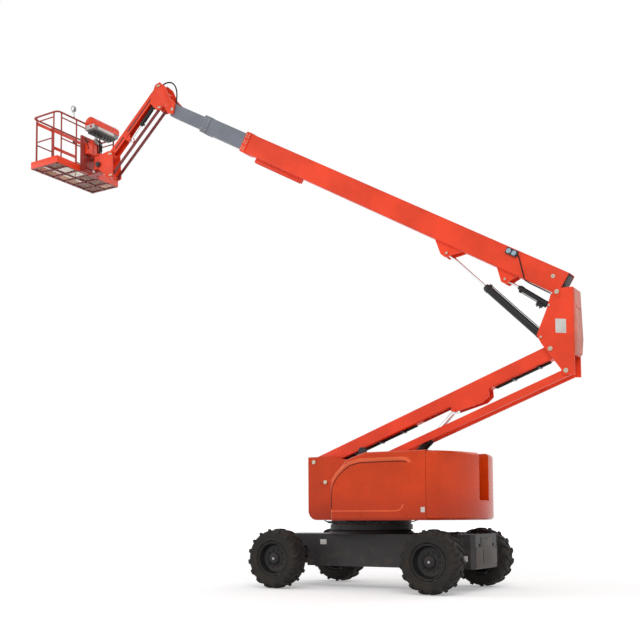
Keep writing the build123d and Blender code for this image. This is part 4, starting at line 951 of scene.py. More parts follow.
class LIFT_OT_turntable(bpy.types.Operator):
    """Adds the hoods' beads in painted highlight, a painted shadow strip along each crease, the latches, the
    counterweight's ledge, pins, alarm, gear and blank plates
    """
    bl_idname = "lift.turntable"
    bl_label = "Turntable Trim"

    def execute(self, context):
        for name, s in (("left", 1), ("right", -1)):
            self.hood(name, s)
        vents = Shape()
        for k in range(9):
            z = 1.46 + k * 0.045
            vents.block((-1.02, -HOOD_FACE - 0.007, z), (-0.46, -HOOD_FACE + 0.001, z + 0.016), bevel=0.003)
        vents.piece("engine_louvres", "hood_right", "plastic")

        pins = Shape()
        for name in ("riser_lift", "riser_link_swing", "riser_cylinder_swing"):
            pins.pin_ends(pin(name), 0.197, 0.038)
        pins.piece("turntable_pin_heads", "turntable", "zinc")
        keepers = Shape()
        for name in ("riser_lift", "riser_link_swing"):
            keepers.keepers(pin(name), CHEEK_FACE, 0.0, -0.110, -0.030, 0.020, -0.090, 0.012, 0.016)
        keepers.piece("turntable_keepers", "turntable", "hood")
        self.counterweight()
        self.alarm()
        self.gear()
        return {"FINISHED"}

    def hood(self, name, s):
        body = f"hood_{name}"
        line = s * (HOOD_FACE - 0.001)
        # Beads along the crease's shoulder and along the lower lip, in a lighter orange as a painted
        # highlight.
        trim = Shape()
        trim.moulding(HOOD_CREASE[3:], line, s, 0.030, 0.010, -0.030)
        trim.moulding(HOOD_LIP, line, s, 0.011, 0.010)
        trim.piece(f"hood_highlight_beads_{name}", body, "hood_painted_highlight", smooth=60)
        # Painted shadow: a thin dark strip along the crease, standing in for the shade under its step.
        shadow_strip = Shape()
        shadow_strip.moulding(HOOD_CREASE, line, s, 0.009, 0.004, 0.012)
        shadow_strip.piece(f"hood_crease_shadows_{name}", body, "painted_crease_shadow", smooth=60)
        latch = Shape()
        place = flank(0.034, HOOD_FACE, 1.734, s)
        latch.turned(((0, 0.001), (0.026, 0.001), (0.029, 0.0045), (0.040, 0.0045), (0.043, 0.0), (0, 0)),
                     place, 32)
        latch.block((-0.024, -0.009, 0.001), (0.024, 0.009, 0.0065), place, 0.003)
        for x in (-0.42, -1.20):
            place = flank(x, HOOD_FACE, 1.225, s)
            latch.block((-0.030, -0.020, 0.0), (0.030, 0.020, 0.004), place, 0.002)
            latch.turned(((0, 0.004), (0.012, 0.004), (0.012, 0.0075), (0, 0.009)), place, 20)
        latch.piece(f"hood_latches_{name}", body, "hood")
        plate = Shape()
        y = pair(s, HOOD_FACE, HOOD_FACE + 0.0025)
        plate.block((-1.540, y[0], 1.270), (-1.472, y[1], 1.350), bevel=0.001)
        plate.piece(f"hood_blank_plate_{name}", body, "pale")

    def counterweight(self):
        weight = Shape()
        x, z = -2.052, 1.452
        weight.block((x, -0.199, z - 0.006), (x + 0.42, 0.199, z + 0.010), bevel=0.004)
        for s in SIDES:
            weight.prism([(x + 0.016, s * 0.2005), (x, s * 0.2005), (x + 0.002, s * 0.262),
                          (x + 0.018, s * 0.262)], 1.46, 2.150, bevel=0.006)
        weight.piece("counterweight_ledge", "turntable", "hood")
        plugs = Shape()
        for s in SIDES:
            for z in (1.32, 2.02):
                plugs.turned(stub(0.034, 0.003, 0.026, 0.0045), flank(-1.640, HOOD_FACE, z, s), 24)
        plugs.piece("counterweight_plugs", "turntable", "hood")

    def alarm(self):
        alarm = Shape()
        x = 0.045
        place = flank(x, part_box("motion_alarm")[1].y, 2.325, 1)
        alarm.turned(((0.072, -0.048), (0.0725, -0.004), (0.066, 0.004), (0.058, 0.004), (0.054, -0.001),
                      (0.020, -0.001), (0.012, 0.005), (0, 0.006)), place, 48)
        for k in range(4):
            r = 0.024 + k * 0.008
            alarm.turned(((r, -0.001), (r + 0.002, 0.0015), (r + 0.004, -0.001)), place, 40)
        for z in (2.075, 2.130):
            alarm.bolt((x, 0.1935, z), (0, 1, 0), 0.016)
        alarm.piece("alarm_horn", "turntable", "plastic")

    def gear(self):
        gear = Shape()
        gear.turned(((0, 0.0), (0.085, 0.0), (0.085, 0.030), (0.062, 0.040), (0.062, 0.064), (0, 0.068)),
                    facing((0.36, 0.50, 1.078), UP), 32)
        for k in range(5):
            x = -0.50 + k * 0.22
            gear.pipe(((x, 0.60, 1.096), (x + 0.06, 0.655, 1.112), (x + 0.14, 0.665, 1.128)), 0.010,
                      bend=0.03)
        gear.block((-0.60, 0.560, 1.090), (0.52, 0.600, 1.132), bevel=0.008)
        for s in SIDES:
            for x, sag in ((-0.52, 0.022), (-0.34, 0.034), (-0.12, 0.026), (0.10, 0.036), (0.33, 0.024)):
                y = s * (0.700 + 0.4 * sag)
                gear.pipe(((x, y, 1.142), (x + 0.050, y, 1.136 - sag), (x + 0.130, y, 1.138 - sag),
                           (x + 0.190, y, 1.142)), 0.0095, bend=0.03)
                gear.block((x - 0.016, y - 0.020, 1.128), (x + 0.016, y + 0.020, 1.1465), bevel=0.003)
        gear.turned(((0.6805, 1.0745), (0.6812, 1.0750), (0.6812, 1.086), (0.690, 1.089), (0.690, 1.100),
                     (0.686, 1.104), (0.686, 1.128), (0.690, 1.132), (0.690, 1.144), (0.6805, 1.1465)),
                    LEVEL, 96)
        gear.piece("slew_gear_and_hoses", "turntable", "bearing")


# ---------------------------------------------------------------- riser and upright
RISER_SIDE = 0.105
UPRIGHT_FACE = 0.175
PIN_OUT = 0.187  # how far from the middle the upright's pins end


class LIFT_OT_riser(bpy.types.Operator):
    """Adds the riser's doubler plates, hose runs and clips, and the upright's pins, plate, ribs and welds"""
    bl_idname = "lift.riser"
    bl_label = "Riser and Upright Trim"

    def execute(self, context):
        foot, top = pin("riser_lift"), pin("upright_level")
        along, length = arm_between(top, foot)
        self.riser(along, length, context.scene.lift_sizes.hose / 2)
        self.upright(top, top + (pin("riser_link_swing") - foot))
        return {"FINISHED"}

    def riser(self, along, length, r):
        strips = Shape()
        for outline in (
                [(0.55, -0.118), (0.60, -0.092), (1.10, -0.092), (1.15, -0.118)],
                [(length - 0.60, -0.100), (length - 0.56, 0.050), (length - 0.16, 0.058),
                 (length - 0.12, -0.108)],
                [(0.12, -0.108), (0.16, 0.058), (0.50, 0.050), (0.56, -0.100)]):
            strips.side_plates(outline, RISER_SIDE, RISER_SIDE + 0.0025, along, 0.001)
        strips.piece("riser_doubler_plates", "riser", "boom")

        under = Shape()
        for k in range(4):
            for run in ((2.60, 3.40, length - 0.22), (0.12, 1.08)):
                under.pipe([along @ Vector((u, -0.1375 - r, -0.060 + k * 0.028)) for u in run], r)
        under.piece("riser_hoses", "riser", "hose")
        guards = Shape()
        for u in (0.30, 0.75, 2.85, 3.30, 3.80, 4.25):
            guards.block((u - 0.020, -0.170, -0.085), (u + 0.020, -0.1380, 0.085), along, 0.006)
        guards.piece("riser_hose_clips", "riser", "black")

    def upright(self, top, link_top):
        pins = Shape()
        for name, radius in (("upright_level", 0.038), ("boom_lift", 0.038), ("lift_cylinder_swing", 0.020),
                             ("level_cylinder_swing", 0.020)):
            pins.pin_ends(pin(name), PIN_OUT, radius)
        pins.pin_ends(link_top, PIN_OUT, 0.038)
        pins.piece("upright_pin_heads", "upright", "zinc")
        keepers = Shape()
        for spot, turn in ((top, 2.4), (pin("boom_lift"), -1.2), (link_top, 1.9)):
            keepers.keepers(spot, UPRIGHT_FACE, turn, 0.028, 0.100, 0.018, 0.082, 0.011, 0.015)
        keepers.piece("upright_keepers", "upright", "boom")

        plate = Shape()
        plate.prism([(-3.335, 4.250), (-3.500, 4.225), (-3.500, 4.005), (-3.335, 4.030)], 0.0, 0.0020,
                    upright_plane(UPRIGHT_FACE), 0.0008)
        plate.piece("upright_blank_plate", "upright", "pale")

        cover = Shape()
        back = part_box("upright_cover")[0].x
        cover.side_bolts([(-3.634, z) for z in (3.80, 4.00, 4.20, 4.40, 4.60)], 0.155, 0.014, upright_plane())
        for z in (3.92, 4.16, 4.40):
            cover.block((back + 0.010, -0.120, z), (back + 0.030, 0.120, z + 0.060), bevel=0.004)
        cover.piece("upright_cover_ribs", "upright", "cover")

        seams = Shape()
        for s in SIDES:
            seams.pipe([(-3.600, s * (UPRIGHT_FACE + 0.0002), z) for z in (3.70, 4.52)], 0.0035, 8)
        seams.piece("upright_welds", "upright", "boom")


# ---------------------------------------------------------------- main boom
BASE_LENGTH = 7.030
BASE_SIDE = 0.150
COLLAR_SIDE = 0.168
BOOM_AXIS = 0.150  # height of the tubes' middle above the pivot


def pin_on_boom(which):
    """The middle of a cylinder's eye under the boom."""
    swing = pin(f"{which}_cylinder_swing")
    axis = Vector(JOINTS[f"{which}_cylinder_slide"]["axis"])
    reach = (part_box(f"{which}_cylinder_rod")[1].x - swing.x) / axis.x
    half = {"lift": 0.034, "level": 0.038}[which]
    return swing + axis * (reach - half / axis.x)


class LIFT_OT_boom(bpy.types.Operator):
    """Adds the boom's seams, collars, wear pads, root plates, pins, sensor, hose tray and end cover"""
    bl_idname = "lift.boom"
    bl_label = "Boom Trim"

    def execute(self, context):
        along = arm_plane(pin("boom_lift"), slope("telescope"))
        self.collars(along)
        self.plates(along)
        self.sensor(along)
        self.tray(along)
        self.tail(along)
        return {"FINISHED"}

    def collars(self, along):
        turn = along.to_3x3()
        collar = Shape()
        for v in (0.030, 0.150, 0.270):
            collar.side_blocks((BASE_LENGTH - 0.118, v - 0.040), (BASE_LENGTH - 0.012, v + 0.040),
                               COLLAR_SIDE - 0.006, COLLAR_SIDE, along, 0.002)
        collar.piece("boom_collar_plates", "boom_base", "boom")
        bolts = Shape()
        bolts.side_bolts([(u, v) for v in (0.010, 0.050, 0.130, 0.170, 0.250, 0.290)
                          for u in (BASE_LENGTH - 0.095, BASE_LENGTH - 0.035)], COLLAR_SIDE, 0.014, along)
        for k in range(4):
            spot = Vector((BASE_LENGTH - 0.065, BOOM_AXIS + 0.197, -0.105 + 0.07 * k))
            bolts.bolt(along @ spot, turn @ Vector((0, 1, 0)), 0.014)
        bolts.piece("boom_collar_bolts", "boom_base", "zinc")
        mid = Shape()
        mid.side_bolts([(u, v) for v in (0.050, 0.250) for u in (8.060, 8.170)], 0.135, 0.013, along)
        mid.piece("mid_collar_bolts", "boom_mid", "zinc")
        pads = Shape()
        for v0, v1 in ((0.012, 0.070), (0.230, 0.288)):
            pads.side_blocks((BASE_LENGTH + 0.001, v0), (BASE_LENGTH + 0.016, v1), 0.1255, 0.1345,
                             along, 0.002)
        pads.piece("boom_wear_pads", "boom_base", "plastic")

    def plates(self, along):
        seams = Shape()
        for w in (-BASE_SIDE - 0.0002, BASE_SIDE + 0.0002):
            for v in (-0.024, 0.322):
                seams.pipe([along @ Vector((u, v, w)) for u in (0.30, BASE_LENGTH - 0.14)], 0.0032, 6)
        seams.piece("boom_edge_welds", "boom_base", "boom")
        doubler = Shape()
        doubler.side_plates([(-0.010, -0.005), (0.52, 0.010), (0.60, 0.080), (0.60, 0.250), (0.52, 0.310),
                             (0.060, 0.320), (-0.012, 0.260)], BASE_SIDE, BASE_SIDE + 0.0045, along, 0.002)
        doubler.piece("boom_root_plates", "boom_base", "boom")
        pins = Shape()
        pins.pin_ends(along @ Vector((0.183, 0.190, 0)), BASE_SIDE + 0.0045, 0.034)
        pins.pin_ends(pin_on_boom("lift"), 0.114, 0.024)
        pins.pin_ends(pin_on_boom("level"), 0.114, 0.022)
        pins.piece("boom_pin_heads", "boom_base", "zinc")

    def sensor(self, along):
        box = Shape()
        place = along @ Matrix.Translation((0.985, 0.262, BASE_SIDE))
        box.block((-0.105, -0.045, 0.0), (0.105, 0.055, 0.040), place, 0.010, 3)
        box.piece("angle_sensor_case", "boom_base", "plastic")
        faces = Shape()
        for u in (-0.050, 0.050):
            faces.turned(((0.038, 0.039), (0.040, 0.050), (0.034, 0.056), (0.030, 0.0535), (0, 0.0545)),
                         place @ Matrix.Translation((u, 0.004, 0)), 32)
        faces.piece("angle_sensor_faces", "boom_base", "blue_lens")
        cable = Shape()
        w = BASE_SIDE + 0.006
        route = ((0.884, 0.262, w), (0.850, 0.252, w), (0.612, 0.000, w), (0.580, -0.040, w - 0.02),
                 (0.480, -0.052, 0.12), (0.260, -0.056, 0.11), (0.110, -0.058, 0.08))
        cable.pipe([along @ Vector(spot) for spot in route], 0.0095, bend=0.05)
        cable.piece("sensor_cable", "boom_base", "hose")

    def tray(self, along):
        tray = Shape()
        tray.side_blocks((5.52, -0.110), (6.63, -0.045), 0.0605, 0.0635, along, 0.001)
        for u in (5.55, 5.90, 6.25, 6.60):
            for s in SIDES:
                w = s * 0.070
                tray.block((u - 0.012, -0.045, w - 0.010), (u + 0.012, -0.036, w + 0.010), along, 0.002)
        tray.piece("hose_tray_sides", "boom_base", "boom")
        chain = Shape()
        for k in range(30):
            u = 5.53 + k * 0.0372
            chain.block((u, -0.126, -0.050), (u + 0.030, -0.1152, 0.050), along, 0.003)
        chain.piece("hose_tray_chain", "boom_base", "boom")

    def tail(self, along):
        cover = Shape()
        back = along.to_3x3() @ Vector((-1, 0, 0))
        for v in (0.020, 0.100, 0.180, 0.260):
            for s in SIDES:
                cover.bolt(along @ Vector((-0.020, v, s * 0.120)), back, 0.014)
        cover.block((-0.024, -0.010, -0.105), (-0.020, 0.310, 0.105), along, 0.001)
        cover.piece("boom_tail_cover", "boom_base", "plastic")


# ---------------------------------------------------------------- cylinders
CYLINDERS = (
    # name, barrel radius, barrel length, fed side (1 is above the barrel)
    ("riser_cylinder", 0.066, 1.620, -1),
    ("lift_cylinder", 0.062, 1.330, 1),
    ("level_cylinder", 0.040, 0.640, -1),
    ("jib_cylinder", 0.042, 0.560, -1),
)


class LIFT_OT_cylinders(bpy.types.Operator):
    """Adds the glands, ports, steel pipes and valve blocks of the hydraulic cylinders"""
    bl_idname = "lift.cylinders"
    bl_label = "Cylinder Trim"

    def execute(self, context):
        for row in CYLINDERS:
            self.cylinder(*row)
        along = arm_plane(pin("level_cylinder_swing"), slope("level_cylinder_slide"))
        block = Shape()
        block.block((0.150, -0.098, -0.030), (0.262, -0.038, 0.030), along, 0.004)
        below = -(along.to_3x3() @ Vector((0, 1, 0)))
        for u in (0.178, 0.235):
            block.turned(stub(0.014, 0.016, 0.009, 0.020), facing(along @ Vector((u, -0.098, 0)), below), 6)
        block.piece("level_valve_block", "level_cylinder_barrel", "black")
        return {"FINISHED"}

    def cylinder(self, name, radius, length, side):
        axis = Vector(JOINTS[f"{name}_slide"]["axis"])
        base = pin(f"{name}_swing")
        body = f"{name}_barrel"
        along = arm_plane(base, slope(f"{name}_slide"))
        tube = facing(base, axis)
        trim = Shape()
        skirt = radius + 0.0005
        trim.turned(((skirt, length - 0.060), (radius + 0.005, length - 0.057),
                     (radius + 0.005, length - 0.006), (radius + 0.001, length - 0.0005),
                     (radius * 0.80, length - 0.0005)), tube, 48)
        trim.turned(((skirt, 0.100), (radius + 0.004, 0.104), (radius + 0.004, 0.132), (skirt, 0.136)),
                    tube, 48)
        for u in (0.120, length - 0.034):
            v = pair(side, radius - 0.002, radius + 0.026)
            trim.block((u - 0.020, v[0], -0.018), (u + 0.020, v[1], 0.018), along, 0.003)
        trim.piece(f"{name}_gland", body, "black")
        pipe = Shape()
        v = side * (radius + 0.012)
        pipe.pipe([along @ Vector((u, v, 0.0)) for u in (length - 0.052, length * 0.72, 0.142)], 0.0065)
        pipe.piece(f"{name}_pipe", body, "black")
        fittings = Shape()
        for u in (0.160, length - 0.074):
            spot = along @ Vector((u - 0.012, v, 0.0))
            fittings.turned(stub(0.0105, 0.020, 0.0075, 0.024), facing(spot, axis), 6)
        fittings.piece(f"{name}_fittings", body, "zinc")


# ---------------------------------------------------------------- jib
JIB_PIN_OUT = 0.144
JIB_KEEPER = 0.045


class LIFT_OT_jib(bpy.types.Operator):
    """Adds the jib's slots, flanges, plates, pins and hoses"""
    bl_idname = "lift.jib"
    bl_label = "Jib Trim"

    def execute(self, context):
        top, low = pin("jib_lift"), pin("platform_level")
        link = pin("jib_link_swing")
        along, length = arm_between(top, low)
        slots = Shape()
        for u0, u1, v in ((0.115, 1.150, 0.010), (1.270, 1.600, 0.012)):
            slots.side_plates([(u0 + 0.02, v - 0.020), (u1 - 0.02, v - 0.020), (u1, v),
                               (u1 - 0.02, v + 0.020), (u0 + 0.02, v + 0.020), (u0, v)],
                              0.0795, 0.0812, along, 0.0005)
        slots.piece("jib_slots", "jib_arm", "maroon")
        ribs = Shape()
        for v in (0.092, -0.050):
            ribs.side_blocks((-0.050, v - 0.006), (length + 0.050, v + 0.003), 0.080, 0.0835, along, 0.001)
        ribs.piece("jib_edge_flanges", "jib_arm", "boom")

        pins = Shape()
        pins.pin_ends(top, JIB_PIN_OUT, 0.025, JIB_KEEPER)
        pins.pin_ends(link, JIB_PIN_OUT, 0.020, JIB_KEEPER)
        pins.piece("jib_bracket_pins", "jib_bracket", "zinc")
        head = Shape()
        head.pin_ends(pin("jib_bracket_level"), 0.117, 0.036)
        head.piece("boom_head_pins", "boom_fly", "zinc")
        low_pins = Shape()
        low_pins.pin_ends(low, JIB_PIN_OUT, 0.025, JIB_KEEPER)
        low_pins.pin_ends(low + (link - top), JIB_PIN_OUT, 0.020, JIB_KEEPER)
        low_pins.piece("platform_bracket_pins", "platform_bracket", "zinc")

        plates = Shape()
        plates.side_plates([(4.420, 9.520), (4.520, 9.505), (4.660, 9.640), (4.780, 9.900), (4.730, 10.030),
                            (4.620, 9.930), (4.500, 9.700)], 0.132, 0.1365, upright_plane(), 0.0015)
        plates.piece("jib_bracket_doublers", "jib_bracket", "boom")
        hoses = Shape()
        for w in (-0.030, 0.030):
            hoses.pipe([along @ Vector((u, 0.108, w)) for u in (0.06, 0.70, 1.30, 1.69)], 0.010)
        hoses.piece("jib_hoses", "jib_arm", "hose")
        clips = Shape()
        for u in (0.25, 0.80, 1.30, 1.62):
            clips.block((u - 0.014, 0.0952, -0.050), (u + 0.014, 0.122, 0.050), along, 0.004)
        clips.piece("jib_hose_clips", "jib_arm", "black")
        return {"FINISHED"}


class LIFT_OT_loop(bpy.types.Operator):
    """Lays the hose that loops over the boom's head"""
    bl_idname = "lift.loop"
    bl_label = "Hose Loop"

    ROUTE = ((4.770, 10.000), (4.765, 10.062), (4.700, 10.092), (4.600, 10.094), (4.500, 10.062),
             (4.425, 9.985), (4.380, 9.880), (4.370, 9.760), (4.384, 9.660), (4.392, 9.600))

    def execute(self, context):
        data = bpy.data.curves.new("head_hose", "CURVE")
        data.dimensions = "3D"
        data.bevel_depth = 0.014
        data.bevel_resolution = 4
        data.resolution_u = 10
        data.use_fill_caps = True
        spline = data.splines.new("NURBS")
        spline.points.add(len(self.ROUTE) - 1)
        for point, (x, z) in zip(spline.points, self.ROUTE):
            point.co = (x, 0.0, z, 1.0)
        spline.order_u = 3
        spline.use_endpoint_u = True
        hose = bpy.data.objects.new("head_hose", data)
        context.scene.collection.objects.link(hose)
        data.materials.append(LOOKS["hose"])
        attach(hose, "jib_bracket")
        guides = Shape()
        for x, z in (self.ROUTE[0], self.ROUTE[-1]):
            guides.turned(drum(0.014, -0.125, 0.125), flank(x, 0.0, z - 0.012, 1), 20)
            guides.turned(drum(0.022, -0.016, 0.016), flank(x, 0.0, z - 0.004, 1), 20)
        guides.piece("head_hose_guides", "jib_bracket", "black")
        return {"FINISHED"}


# ---------------------------------------------------------------- platform
GATE_POST_Y = 0.350
MID_RAIL_Z = 9.160
BAND_Z, BAND_HEIGHT = 9.600, 0.070
ROTATOR_X = 6.480


class LIFT_OT_platform(bpy.types.Operator):
    """Builds the tubular rails, toe boards, see-through floor, gate, column trim and hoses"""
    bl_idname = "lift.platform"
    bl_label = "Platform"

    def execute(self, context):
        sizes = context.scene.lift_sizes
        self.rails(*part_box("platform_rails"), sizes.rail / 2)
        self.deck(*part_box("platform_floor"), sizes.mesh_pitch)
        self.gate(*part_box("entry_gate"))
        self.column(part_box("platform_support")[1].x - 0.048)
        self.turner()
        self.hoses()
        return {"FINISHED"}

    def rails(self, low, high, r):
        edge = 0.019
        x0, x1, y0, y1 = low.x + edge, high.x - edge, low.y + edge, high.y - edge
        foot, top = low.z, high.z - edge
        post, bar = 0.016, 0.014
        corner, inset = 0.090, 0.110
        rails = Shape()
        loop = []
        for cx, cy, start in ((x1 - corner, y1 - corner, 0), (x0 + corner, y1 - corner, 90),
                              (x0 + corner, y0 + corner, 180), (x1 - corner, y0 + corner, 270)):
            for k in range(9):
                a = radians(start + k * 90 / 8)
                loop.append(Vector((cx + corner * cos(a), cy + corner * sin(a), top)))
        rails.pipe(loop + [loop[0]], r, 14, ends=False)
        spots = [(x, y) for x in (x0, x1) for y in (y0 + inset, -GATE_POST_Y, GATE_POST_Y, y1 - inset)]
        spots += [(x, y) for y in (y0, y1) for x in (x0 + inset, x1 - inset)]
        for x, y in spots:
            rails.pipe(((x, y, foot), (x, y, top)), post, 14)
            rails.turned(((post, -0.010), (post + 0.004, -0.004), (post + 0.005, 0.002)),
                         Matrix.Translation((x, y, top - r)), 14)
        for z in (MID_RAIL_Z, top - 0.105):
            rails.pipe(((x0, y0 + inset, z), (x0, y1 - inset, z)), bar, 12)
            for y in (y0, y1):
                rails.pipe(((x0 + inset, y, z), (x1 - inset, y, z)), bar, 12)
        for s in SIDES:
            rails.pipe(((x1, s * GATE_POST_Y, MID_RAIL_Z), (x1, s * (y1 - inset), MID_RAIL_Z)), bar, 12)
        rails.piece("guard_rails", "platform", "rail", ("platform_rails",))

        band = Shape()
        for s in SIDES:
            y = pair(s, GATE_POST_Y, y1 - inset)
            band.block((x1 - 0.004, y[0], BAND_Z), (x1 + 0.004, y[1], BAND_Z + BAND_HEIGHT), bevel=0.002)
        band.piece("front_bands", "platform", "boom")
        feet = Shape()
        for x, y in spots:
            feet.turned(drum(0.0185, 0, 0.004), Matrix.Translation((x, y, foot)), 20)
        feet.piece("rail_feet", "platform", "boom")

    def deck(self, low, high, pitch):
        toe = Shape()
        thick = 0.004
        for x in (low.x, high.x - thick):
            toe.block((x, low.y, low.z), (x + thick, high.y, high.z), bevel=0.001)
            inner = (x + thick, x + 0.014) if x == low.x else (x - 0.010, x)
            toe.block((inner[0], low.y + thick, high.z - 0.006), (inner[1], high.y - thick, high.z - 0.001),
                      bevel=0.001)
        for y in (low.y, high.y - thick):
            toe.block((low.x + thick, y, low.z), (high.x - thick, y + thick, high.z), bevel=0.001)
        toe.piece("toe_boards", "platform", "boom", ("platform_floor",))

        bars = Shape()
        z0, z1 = low.z, low.z + 0.030
        for x in (low.x + 0.005, low.x + 0.370, high.x - 0.055):
            bars.block((x, low.y + 0.004, z0), (x + 0.050, high.y - 0.004, z1), bevel=0.002)
        for y in (-0.911, -0.640, -0.330, -0.035, 0.280, 0.590, 0.861):
            bars.block((low.x + 0.004, y, z0), (high.x - 0.004, y + 0.050, z1), bevel=0.002)
        rear, front = (low.x + 0.055, low.x + 0.370), (low.x + 0.420, high.x - 0.055)
        for (x0, x1), y0, y1 in ((rear, -0.280, -0.035), (front, -0.590, -0.330), (rear, 0.640, 0.861),
                                 (front, -0.861, -0.640), (rear, -0.590, -0.330)):
            bars.block((x0 - 0.002, y0 - 0.002, z1 - 0.010), (x1 + 0.002, y1 + 0.002, z1), bevel=0.001)
        bars.piece("floor_frame", "platform", "maroon")
        self.mesh((low.x + 0.055, low.y + 0.054), (high.x - 0.055, high.y - 0.054), z1 - 0.008, pitch)
        self.fasteners(low, high)

    def mesh(self, low, high, z, pitch):
        """Thin crossed bars that daylight shows through."""
        bars = Shape()
        (x0, y0), (x1, y1), half = low, high, 0.0012
        count = int((y1 - y0) / pitch)
        for k in range(1, count):
            y = y0 + (y1 - y0) * k / count
            bars.block((x0, y - half, z - 0.006), (x1, y + half, z), bevel=0.0)
        count = int((x1 - x0) / pitch)
        for k in range(1, count):
            x = x0 + (x1 - x0) * k / count
            bars.block((x - half, y0, z - 0.005), (x + half, y1, z - 0.001), bevel=0.0)
        bars.piece("floor_mesh", "platform", "zinc")

    def fasteners(self, low, high):
        """The toe boards' round fasteners, each sunk half a millimetre into its board."""
        rivets = Shape()
        sunk, z = 0.0005, low.z + 0.105
        spots = [(x - s * sunk, y, (s, 0, 0)) for y in (-0.86, -0.62, -0.33, 0.0, 0.33, 0.62, 0.86)
                 for x, s in ((low.x, -1), (high.x, 1))]
        spots += [(low.x + step, y - s * sunk, (0, s, 0)) for step in (0.12, 0.40, 0.68)
                  for y, s in ((low.y, -1), (high.y, 1))]
        for x, y, out in spots:
            rivets.turned(((0, -0.004), (0.013, -0.004), (0.010, -0.0005), (0, 0.0)),
                          facing((x, y, z), out), 14)
        rivets.piece("toe_board_fasteners", "platform", "pale")

    def gate(self, low, high):
        x = (low.x + high.x) / 2
        y = low.y + 0.012
        gate = Shape()
        for z in (BAND_Z, 9.220):
            gate.block((x - 0.004, y, z), (x + 0.004, GATE_POST_Y, z + BAND_HEIGHT), bevel=0.002)
        for end in (GATE_POST_Y, y):
            gate.pipe(((x, end, 9.200), (x, end, 9.680)), 0.0118, 14)
        gate.piece("gate_bars", "entry_gate", "boom", ("entry_gate",))
        latch = Shape()
        latch.block((x - 0.010, low.y + 0.030, 9.560), (x + 0.010, low.y + 0.090, 9.598), bevel=0.004)
        latch.pipe(((x, low.y + 0.045, 9.598), (x, low.y + 0.045, 9.575)), 0.007)
        latch.piece("gate_latch", "entry_gate", "plastic")

    def column(self, face):
        trim = Shape()
        for y in (-0.225, 0.225):
            trim.block((face - 0.030, y - 0.025, 8.640), (face - 0.0005, y + 0.025, 9.360), bevel=0.004)
        for z in (8.700, 9.020, 9.300):
            trim.block((face - 0.024, -0.200, z), (face - 0.0005, 0.200, z + 0.040), bevel=0.004)
        trim.piece("column_ribs", "platform", "rail")
        panel = Shape()
        panel.prism([(face - 0.055, 8.980), (face - 0.001, 8.980), (face - 0.001, 9.370),
                     (face - 0.030, 9.370)], -0.150, 0.030, upright_plane(), 0.004)
        panel.block((face - 0.120, 0.060, 8.990), (face - 0.001, 0.190, 9.230), bevel=0.006)
        panel.piece("column_cabinet", "platform", "boom")

    def turner(self):
        """The rotator's flanges and drives, and the release knob beside it."""
        turner = Shape()
        for z in (8.635, 8.930):
            turner.turned(((0.136, -0.016), (0.150, -0.012), (0.150, 0.012), (0.136, 0.016)),
                          Matrix.Translation((ROTATOR_X, 0, z)), 48)
        turner.turned(stub(0.055, 0.006, 0.040, 0.012), Matrix.Translation((ROTATOR_X, 0, 8.960)), 32)
        turner.piece("rotator_flanges", "platform_bracket", "boom")
        drive = Shape()
        for z, s in ((8.700, 1), (8.760, -1)):
            drive.turned(((0, 0), (0.052, 0), (0.055, 0.004), (0.055, 0.050), (0.046, 0.060), (0.030, 0.062),
                          (0, 0.060)), flank(6.400, 0.133, z, s), 40)
        drive.block((6.425, -0.090, 8.870), (6.470, -0.040, 8.905), bevel=0.004)
        drive.piece("rotator_drives", "platform_bracket", "plastic")
        knob = Shape()
        knob.turned(((0, 0), (0.010, 0), (0.010, 0.030), (0.024, 0.034), (0.028, 0.046), (0.024, 0.058),
                     (0, 0.062)), flank(6.560, 0.072, 8.586, 1), 28)
        knob.piece("release_knob", "platform", "pale")

    def hoses(self):
        hoses = Shape()
        for y, lift in ((-0.100, 0.0), (-0.130, 0.020), (-0.160, 0.045), (-0.190, 0.010)):
            hoses.pipe(((6.775, y, 9.360 - lift), (6.700, y, 9.420 - lift), (6.610, y * 0.9, 9.300 - lift),
                        (6.590, y * 0.8, 9.130 - lift), (6.640, y * 0.7, 8.990), (6.720, y * 0.6, 8.985)),
                       0.010, bend=0.06)
        hoses.pipe(((6.770, 0.205, 9.330), (6.690, 0.215, 9.300), (6.650, 0.200, 9.130),
                    (6.690, 0.150, 8.990), (6.760, 0.130, 8.985)), 0.009, bend=0.06)
        hoses.piece("platform_hoses", "platform", "hose")
        valve = Shape()
        valve.block((6.700, -0.170, 9.300), (6.770, -0.070, 9.400), bevel=0.004)
        for y in (-0.145, -0.095):
            valve.turned(stub(0.015, 0.050, 0.010, 0.056), facing((6.735, y, 9.400), UP), 20)
        valve.piece("platform_valve", "platform", "steel")


